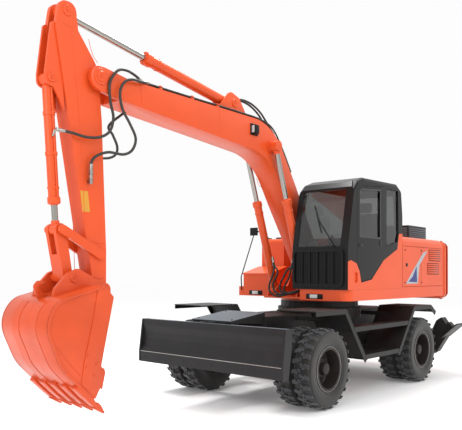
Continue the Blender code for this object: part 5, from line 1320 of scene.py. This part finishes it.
# ---------------------------------------------------------------- upper structure
@dataclass
class Tail:
    """Rounded counterweight, stripes, louvres and seams of the engine covers."""

    half: float = 1.240
    radius: float = 2.480
    front_x: float = -1.930
    top: float = 2.285
    low: float = 1.300
    play: float = 0.004
    arc_steps: int = 28
    louvres: int = 5
    slat_count: int = 6

    def build(self) -> None:
        """Make the counterweight and the fittings of the covers."""
        swing = math.asin(self.half / self.radius)
        plan = [(self.front_x, -self.half), (self.front_x, self.half)]
        inner = self.radius - self.play
        turns = (math.pi - swing + 2.0 * swing * k / self.arc_steps for k in range(self.arc_steps + 1))
        plan += [(inner * math.cos(turn), inner * math.sin(turn)) for turn in turns]
        weight = plate(plan, "z", self.low, self.top)
        self.ease_rim(weight, self.top, 0.100, 6)
        self.ease_rim(weight, self.low, 0.030, 3)
        ease(weight, 0.006, 2)
        finish(weight, "smooth_counterweight", "upper", ORANGE, Shading.CRISP, ["counterweight"])
        self.side_marks()
        self.slats()

    def ease_rim(self, piece: bpy.types.Object, height: float, width: float, segments: int) -> None:
        """Round the outer rim at one height.

        Args:
            piece: the counterweight.
            height: height of the rim.
            width: width of the rounding.
            segments: faces across it.
        """
        hold(piece)
        for edge in piece.data.edges:
            ends = [piece.data.vertices[index].co for index in edge.vertices]
            on_rim = all(abs(end.z - height) < 1e-4 for end in ends)
            edge.select = on_rim and min(end.x for end in ends) < self.front_x - 0.01
        bpy.ops.object.mode_set(mode="EDIT")
        bpy.ops.mesh.select_mode(type="EDGE")
        bpy.ops.mesh.bevel(offset=width, segments=segments, affect="EDGES")
        bpy.ops.object.mode_set(mode="OBJECT")

    def side_marks(self) -> None:
        """Stripes, louvres with painted shade behind their slats, seams and hinges on the engine door."""
        face = self.half
        silver = rounded([(-1.300, 2.100), (-1.130, 2.060), (-0.760, 1.780), (-0.500, 1.570),
                          (-0.930, 1.570), (-0.990, 1.860)], 1)
        blue = [(-0.880, 1.840), (-0.740, 1.680), (-0.590, 1.600), (-0.900, 1.590)]
        finish(plate(silver, "y", face - 0.001, face + 0.0010), "stripe_silver", "engine_door",
               STRIPE_SILVER, Shading.CRISP)
        finish(plate(blue, "y", face - 0.001, face + 0.0018), "stripe_blue", "engine_door", STRIPE_BLUE,
               Shading.CRISP)
        louvres, shaded_backings = [], []
        for low_x, low_z in ((-1.800, 1.950), (-1.740, 1.730)):
            for row in range(self.louvres):
                z = low_z + row * 0.034
                louvres.append(block((low_x, face - 0.004, z), (low_x + 0.440, face + 0.0045, z + 0.021),
                                     0.002))
            # painted shade: a dark red panel set behind and round the slats stands for the shade in the
            # louvre openings
            shaded_backings.append(block((low_x - 0.014, face - 0.004, low_z - 0.018),
                               (low_x + 0.454, face + 0.0015, low_z + 0.172), 0.001))
        finish(joined(louvres), "door_louvres", "engine_door", ORANGE)
        finish(joined(shaded_backings), "louvre_recess_painted_shade", "engine_door", LOUVRE_PAINTED_SHADE)
        seam = block((-1.054, face - 0.002, 1.545), (-1.048, face + 0.0008, 2.130), 0.0)
        hinges = [bar((x, face - 0.001, z), (x, face + 0.007, z), 0.011, 16, 0.002)
                  for x in (-0.475, -1.075) for z in (1.585, 2.090)]
        finish(joined([seam, *hinges]), "door_seam_and_catches", "engine_door", CAB_BLACK)
        handle = block((-0.560, face - 0.001, 1.835), (-0.500, face + 0.006, 1.885), 0.002)
        finish(handle, "engine_door_latch", "engine_door", CAB_BLACK)

    def slats(self) -> None:
        """Slats of the intake box and a filler cap on the hood."""
        low, high = part_box("intake_grille")
        slats = []
        for row in range(self.slat_count):
            z = low.z + 0.035 + row * (high.z - low.z - 0.06) / self.slat_count
            slats.append(block((low.x + 0.02, high.y - 0.002, z),
                               (high.x - 0.02, high.y + 0.008, z + 0.018), 0.003))
            slats.append(block((high.x - 0.002, low.y + 0.02, z),
                               (high.x + 0.008, high.y - 0.02, z + 0.018), 0.003))
        finish(joined(slats), "intake_slats", "upper", COVER_GREY_AND_HIGHLIGHT)
        cap = joined([bar((-0.62, 0.45, 2.298), (-0.62, 0.45, 2.335), 0.055, 28, 0.006),
                      bar((-0.62, 0.45, 2.333), (-0.62, 0.45, 2.350), 0.035, 20, 0.004)])
        finish(cap, "filler_cap", "upper", CAB_BLACK)
        tank = joined([bar((-0.14, -0.89, 2.298), (-0.14, -0.89, 2.330), 0.060, 28, 0.006),
                       screw((-0.02, -0.80, 2.300), (0, 0, 1), 0.012),
                       screw((-0.26, -0.80, 2.300), (0, 0, 1), 0.012)])
        finish(tank, "tank_cap", "upper", CAB_BLACK)


@dataclass
class Cab:
    """Panes, wiper, handles, roof knobs, seat cushions and lamps of the cab."""

    inner_y: float = 0.350
    outer_y: float = 1.240
    sill: Flat = (1.240, 2.080)
    brow: Flat = (1.070, 2.900)

    def build(self) -> None:
        """Make the panes and the fittings."""
        self.panes()
        self.seat()
        wiper = joined([
            bar(self.on_screen(1.02, 0.02, -0.004), self.on_screen(0.72, 0.40, 0.006), 0.006, 12),
            bar(self.on_screen(0.80, 0.20, 0.002), self.on_screen(0.64, 0.60, 0.002), 0.007, 12),
            bar(self.on_screen(1.02, 0.01, -0.01), self.on_screen(1.02, 0.01, 0.02), 0.018, 20, 0.003)])
        finish(wiper, "screen_wiper", "upper", CAB_BLACK)
        rows = (1.57 + 0.030 * k for k in range(16))
        columns = (0.40 + 0.040 * k for k in range(19))
        mesh = [block((1.244, 0.385, z), (1.247, 1.160, z + 0.004), 0.0) for z in rows]
        mesh += [block((1.247, y, 1.565), (1.250, y + 0.004, 2.035), 0.0) for y in columns]
        finish(joined(mesh), "guard_mesh", "upper", CAB_BLACK)
        stay = joined([hose([(0.512, -1.185, 1.44), (0.520, -1.190, 1.66)], 0.010, False),
                       hose([(0.520, -1.190, 1.655), (0.062, -1.292, 2.375)], 0.009, False)])
        finish(stay, "mirror_stay", "upper", CAB_BLACK)
        handle = hose([(1.115, 1.236, 2.87), (1.135, 1.243, 2.89), (1.120, 1.243, 2.96),
                       (1.090, 1.232, 2.975)], 0.008)
        knobs = [bar((x, y, z - 0.03), (x, y, z), 0.026, 24, 0.008)
                 for x, y, z in ((0.62, 1.05, 3.072), (-0.12, 1.05, 3.078), (0.62, 0.52, 3.072))]
        gutter = block((-0.30, 1.196, 2.975), (0.92, 1.214, 2.990), 0.004)
        finish(joined([handle, gutter, *knobs]), "cab_roof_fittings", "upper", CAB_BLACK)
        outside = self.outer_y
        latch = joined([block((0.290, outside - 0.001, 2.120), (0.360, outside + 0.004, 2.200), 0.002),
                        block((0.840, outside - 0.001, 2.090), (0.950, outside + 0.008, 2.130), 0.003)])
        finish(latch, "cab_door_handle", "cab_door", FRAME_BLACK)
        edge = [(0.318, 2.218), (0.937, 2.218), (0.937, 2.838), (0.866, 2.886), (0.318, 2.927)]
        inner = [(0.340, 2.240), (0.915, 2.240), (0.915, 2.825), (0.855, 2.864), (0.340, 2.904)]
        seal = plate(edge, "y", outside - 0.003, outside + 0.0025)
        cut(seal, plate(inner, "y", outside - 0.1, outside + 0.1))
        finish(seal, "door_window_seal", "cab_door", RUBBER)
        for word, x, y in (("left", 1.227, 0.695), ("right", 0.510, -0.900)):
            bowl = block((x - 0.004, y - 0.125, 1.368), (x + 0.0015, y + 0.150, 1.440), 0.002)
            finish(bowl, f"lamp_recess_{word}", "upper", CAB_BLACK)
            lens = block((x - 0.004, y - 0.060, 1.378), (x + 0.010, y + 0.060, 1.432), 0.006)
            finish(lens, f"work_lamp_{word}", "upper", LAMP_GLASS)

    def on_screen(self, y: float, along: float, out: float = 0.0) -> Vector:
        """Point by the windscreen.

        Args:
            y: place across the machine.
            along: distance up the screen from its sill.
            out: distance in front of it.

        Returns:
            The point.
        """
        (sill_x, sill_z), (brow_x, brow_z) = self.sill, self.brow
        up = Vector((brow_x - sill_x, 0.0, brow_z - sill_z)).normalized()
        return Vector((sill_x + 0.001, y, sill_z)) + up * along + Vector((up.z * out, 0.0, -up.x * out))

    def panes(self) -> None:
        """Windscreen, rear, right and quarter panes, let into the frame's openings."""
        sill, brow = Vector(self.sill), Vector(self.brow)
        slant = (brow - sill).normalized()
        into = Vector((-slant.y, slant.x))
        low, high = sill + slant * 0.015, brow - slant * 0.035
        outline = [tuple(corner + into * depth) for corner, depth in
                   ((low, 0.012), (high, 0.012), (high, 0.018), (low, 0.018))]
        screen = plate(outline, "y", self.inner_y + 0.082, self.outer_y - 0.122)
        finish(screen, "windscreen", "upper", GLASS, Shading.CRISP)
        rear = block((-0.366, self.inner_y + 0.082, 2.362), (-0.360, self.outer_y - 0.122, 2.898), 0.0)
        finish(rear, "rear_pane", "upper", GLASS, Shading.CRISP)
        side = plate([(-0.228, 2.152), (1.058, 2.152), (0.938, 2.858), (0.799, 2.928), (-0.228, 2.928)],
                     "y", self.inner_y + 0.014, self.inner_y + 0.020)
        finish(side, "right_pane", "upper", SIDE_GLASS, Shading.CRISP)
        quarter = plate([(-0.248, 2.332), (-0.208, 2.202), (0.138, 2.122), (0.138, 2.958), (-0.228, 2.958)],
                        "y", self.outer_y - 0.026, self.outer_y - 0.020)
        finish(quarter, "quarter_pane", "upper", SIDE_GLASS, Shading.CRISP)

    def seat(self) -> None:
        """Two cushions, a headrest, a console with its lever on each side and a display."""
        middle = (self.inner_y + self.outer_y) / 2.0
        cushion = block((0.050, middle - 0.215, 1.985), (0.520, middle + 0.215, 2.040), 0.022)
        back = block((0.065, middle - 0.195, 2.060), (0.120, middle + 0.195, 2.600), 0.022)
        head = block((-0.050, middle - 0.120, 2.640), (0.050, middle + 0.120, 2.790), 0.030)
        for piece, name in ((cushion, "seat_cushion"), (back, "back_cushion"), (head, "head_rest")):
            finish(piece, name, "upper", SEAT_CLOTH)
        levers = []
        for side in (LEFT, RIGHT):
            y = middle + side * 0.285
            levers.append(block((0.140, y - 0.035, 1.900), (0.460, y + 0.035, 2.080), 0.012))
            levers.append(bar((0.420, y, 2.070), (0.440, y, 2.210), 0.009, 16))
            levers.append(bar((0.438, y, 2.200), (0.445, y, 2.290), 0.022, 20, 0.008))
        posts = [bar((0.0, middle + side * 0.07, 2.60), (0.0, middle + side * 0.07, 2.66), 0.008, 12)
                 for side in (LEFT, RIGHT)]
        screen = block((0.985, middle - 0.34, 2.080), (1.000, middle - 0.18, 2.200), 0.006)
        stalk = bar((0.990, middle - 0.26, 2.0), (0.993, middle - 0.26, 2.09), 0.010, 12)
        finish(joined([*levers, *posts, screen, stalk]), "cab_controls", "upper", TRIM_GREY)


# ---------------------------------------------------------------- undercarriage
@dataclass
class Undercarriage:
    """A wear strip along the cutting edge, a painted highlight along the blade's top, bolts and pin caps of
    the blade, and the cover sheet over its ram.
    """

    half: float = 1.240
    face_x: float = 2.630
    pin_y: float = 0.372
    bolts: int = 10

    def build(self) -> None:
        """Make the small pieces of the lower machine."""
        seam = block((self.face_x + 0.0535, -self.half + 0.03, 0.628),
                     (self.face_x + 0.057, self.half - 0.03, 0.636), 0.0)
        finish(seam, "cutting_edge_seam", "blade", STEEL)
        bolts = []
        for index in range(self.bolts):
            y = -self.half + 0.12 + index * (2 * self.half - 0.24) / (self.bolts - 1)
            bolts.append(lathe([(0.001, -0.002), (0.014, -0.002), (0.012, 0.003), (0.001, 0.0035)],
                               (self.face_x + 0.055, y, 0.560), (1, 0, 0), 16))
        finish(joined(bolts), "cutting_edge_bolts", "blade", BLADE_BLACK, Shading.SMALL)
        # painted highlight: a thin light grey strip on the black blade's top, where the top catches the
        # light
        top = block((self.face_x - 0.080, -self.half + 0.002, 1.0725),
                    (self.face_x - 0.001, self.half - 0.002, 1.0752), 0.001)
        finish(top, "blade_top_painted_highlight", "blade", COVER_GREY_AND_HIGHLIGHT)
        caps = [pin_cap((2.510, side * self.pin_y, 0.775), side, 0.032, 0.010) for side in (LEFT, RIGHT)]
        finish(joined(caps), "blade_pin_caps", "blade", BLADE_BLACK)
        sheet = plate([(1.862, 1.1975), (2.561, 1.1150), (2.561, 1.1118), (1.862, 1.1945)], "y", -0.340,
                      0.340)
        bolts = [screw((x, y, 1.1975 - (x - 1.862) * 0.118), (0.12, 0, 1), 0.010)
                 for x in (1.93, 2.48) for y in (-0.29, 0.29)]
        finish(sheet, "cover_sheet", "chassis", COVER_GREY_AND_HIGHLIGHT)
        finish(joined(bolts), "cover_bolts", "chassis", FRAME_BLACK)


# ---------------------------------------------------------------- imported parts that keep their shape
KEPT = {
    ORANGE: ("arm", "deck_frame", "hood_cover", "engine_door_left", "pump_door_right", "fluid_tank",
             "toolbox", "toolbox_lid", "cab_side_panel", "bucket_link", "rocker_links"),
    CAB_BLACK: ("cab_frame", "cab_door", "intake_grille", "side_mirror"),
    BLADE_BLACK: ("dozer_blade", "blade_arms"),
    FRAME_BLACK: ("chassis_frame", "front_axle", "rear_axle", "steering_knuckle_left",
                  "steering_knuckle_right",
                  "step_and_mudguards_left", "step_and_mudguards_right", "outrigger_leg_left",
                  "outrigger_leg_right", "engine_block"),
    SIDE_GLASS: ("cab_door_glass",),
    SEAT_CLOTH: ("driver_seat",),
    TRIM_GREY: ("driver_console",),
}
KEPT_ROUNDING = 0.003
KEPT_ANGLE = math.radians(40)


def dress_kept() -> None:
    """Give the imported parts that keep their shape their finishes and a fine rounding."""
    for look, names in KEPT.items():
        for name in names:
            piece = frame["nodes"][name]
            piece.data.materials.clear()
            piece.data.materials.append(look.material())
            LOG.info("%s keeps its shape, in %s", name, look.name)
            if look is SIDE_GLASS:
                continue
            rounding = piece.modifiers.new("fine_edges", "BEVEL")
            rounding.width = KEPT_ROUNDING
            rounding.segments = 2
            rounding.limit_method = "ANGLE"
            rounding.angle_limit = KEPT_ANGLE
            rounding.harden_normals = False


# ---------------------------------------------------------------- studio
@dataclass
class Studio:
    """Camera, lights and floor.

    The camera stands at place, counted from the slewing axis, with its turns in degrees.
    """

    place: Point = (8.508, 5.446, 1.723)
    yaw: float = 40.684
    pitch: float = 1.259
    roll: float = 0.317
    lens: float = 48.72
    shift: Flat = (0.0006, 0.0954)
    sensor: float = 36.0
    reach: float = 200.0
    aim: Point = (1.2, 0.0, 1.4)
    floor_side: float = 160.0
    floor_drop: float = 0.001
    sky_strength: float = 0.98

    def build(self) -> None:
        """Set the camera, the floor and the light."""
        scene = bpy.context.scene
        yaw, pitch, roll = (math.radians(angle) for angle in (self.yaw, self.pitch, self.roll))
        ahead = Vector((-math.cos(yaw) * math.cos(pitch), -math.sin(yaw) * math.cos(pitch),
                        math.sin(pitch)))
        right = Vector((-math.sin(yaw), math.cos(yaw), 0.0))
        up = right.cross(ahead)
        right, up = (right * math.cos(roll) + up * math.sin(roll),
                     up * math.cos(roll) - right * math.sin(roll))
        eye = bpy.data.cameras.new("studio_camera")
        eye.lens = self.lens
        eye.sensor_width = self.sensor
        eye.shift_x, eye.shift_y = self.shift
        eye.clip_end = self.reach
        camera = bpy.data.objects.new("studio_camera", eye)
        scene.collection.objects.link(camera)
        turn = Matrix((right, up, -ahead)).transposed().to_4x4()
        camera.matrix_world = Matrix.Translation(Vector(self.place) + SHIFT) @ turn
        scene.camera = camera
        scene.view_settings.view_transform = "Standard"
        self.floor()
        self.sky()
        self.lamp("key_light", (3.5, 9.5, 9.0), 6.0, 380.0)
        self.lamp("front_light", (11.0, 1.0, 5.5), 5.0, 240.0)
        self.lamp("top_light", (-0.5, -1.0, 10.5), 4.0, 1000.0)

    def floor(self) -> None:
        """Wide pale floor under the wheels."""
        let_go()
        bpy.ops.mesh.primitive_plane_add(size=self.floor_side, location=(SLEW_X, 0.0, -self.floor_drop))
        ground = bpy.context.object
        ground.name = "studio_floor"
        ground.data.materials.append(FLOOR.material())

    def sky(self) -> None:
        """Even white surroundings."""
        world = bpy.data.worlds.new("studio_white")
        world.use_nodes = True
        bpy.context.scene.world = world
        back = world.node_tree.nodes["Background"]
        back.inputs["Color"].default_value = (1.0, 1.0, 1.0, 1.0)
        back.inputs["Strength"].default_value = self.sky_strength

    def lamp(self, name: str, place: Point, size: float, power: float) -> None:
        """Square area light aimed at the machine.

        Args:
            name: its name.
            place: where it hangs, counted from the slewing axis.
            size: its side in metres.
            power: its power in watts.
        """
        let_go()
        where = Vector(place) + SHIFT
        aim = Vector(self.aim) + SHIFT
        turn = Vector((0, 0, -1)).rotation_difference(aim - where).to_euler()
        bpy.ops.object.light_add(type="AREA", location=where, rotation=turn)
        light = bpy.context.object
        light.name = name
        light.data.size = size
        light.data.energy = power


def main() -> None:
    """Build every assembly, dress what is kept, and set the studio."""
    logging.basicConfig(level=logging.INFO, format="%(message)s")
    dress_kept()
    TwinWheels().build()
    build_rams()
    for assembly in (Boom(), Arm(), Bucket(), Hoses(), Tail(), Cab(), Undercarriage()):
        assembly.build()
    Studio().build()


if __name__ == "__main__":
    main()
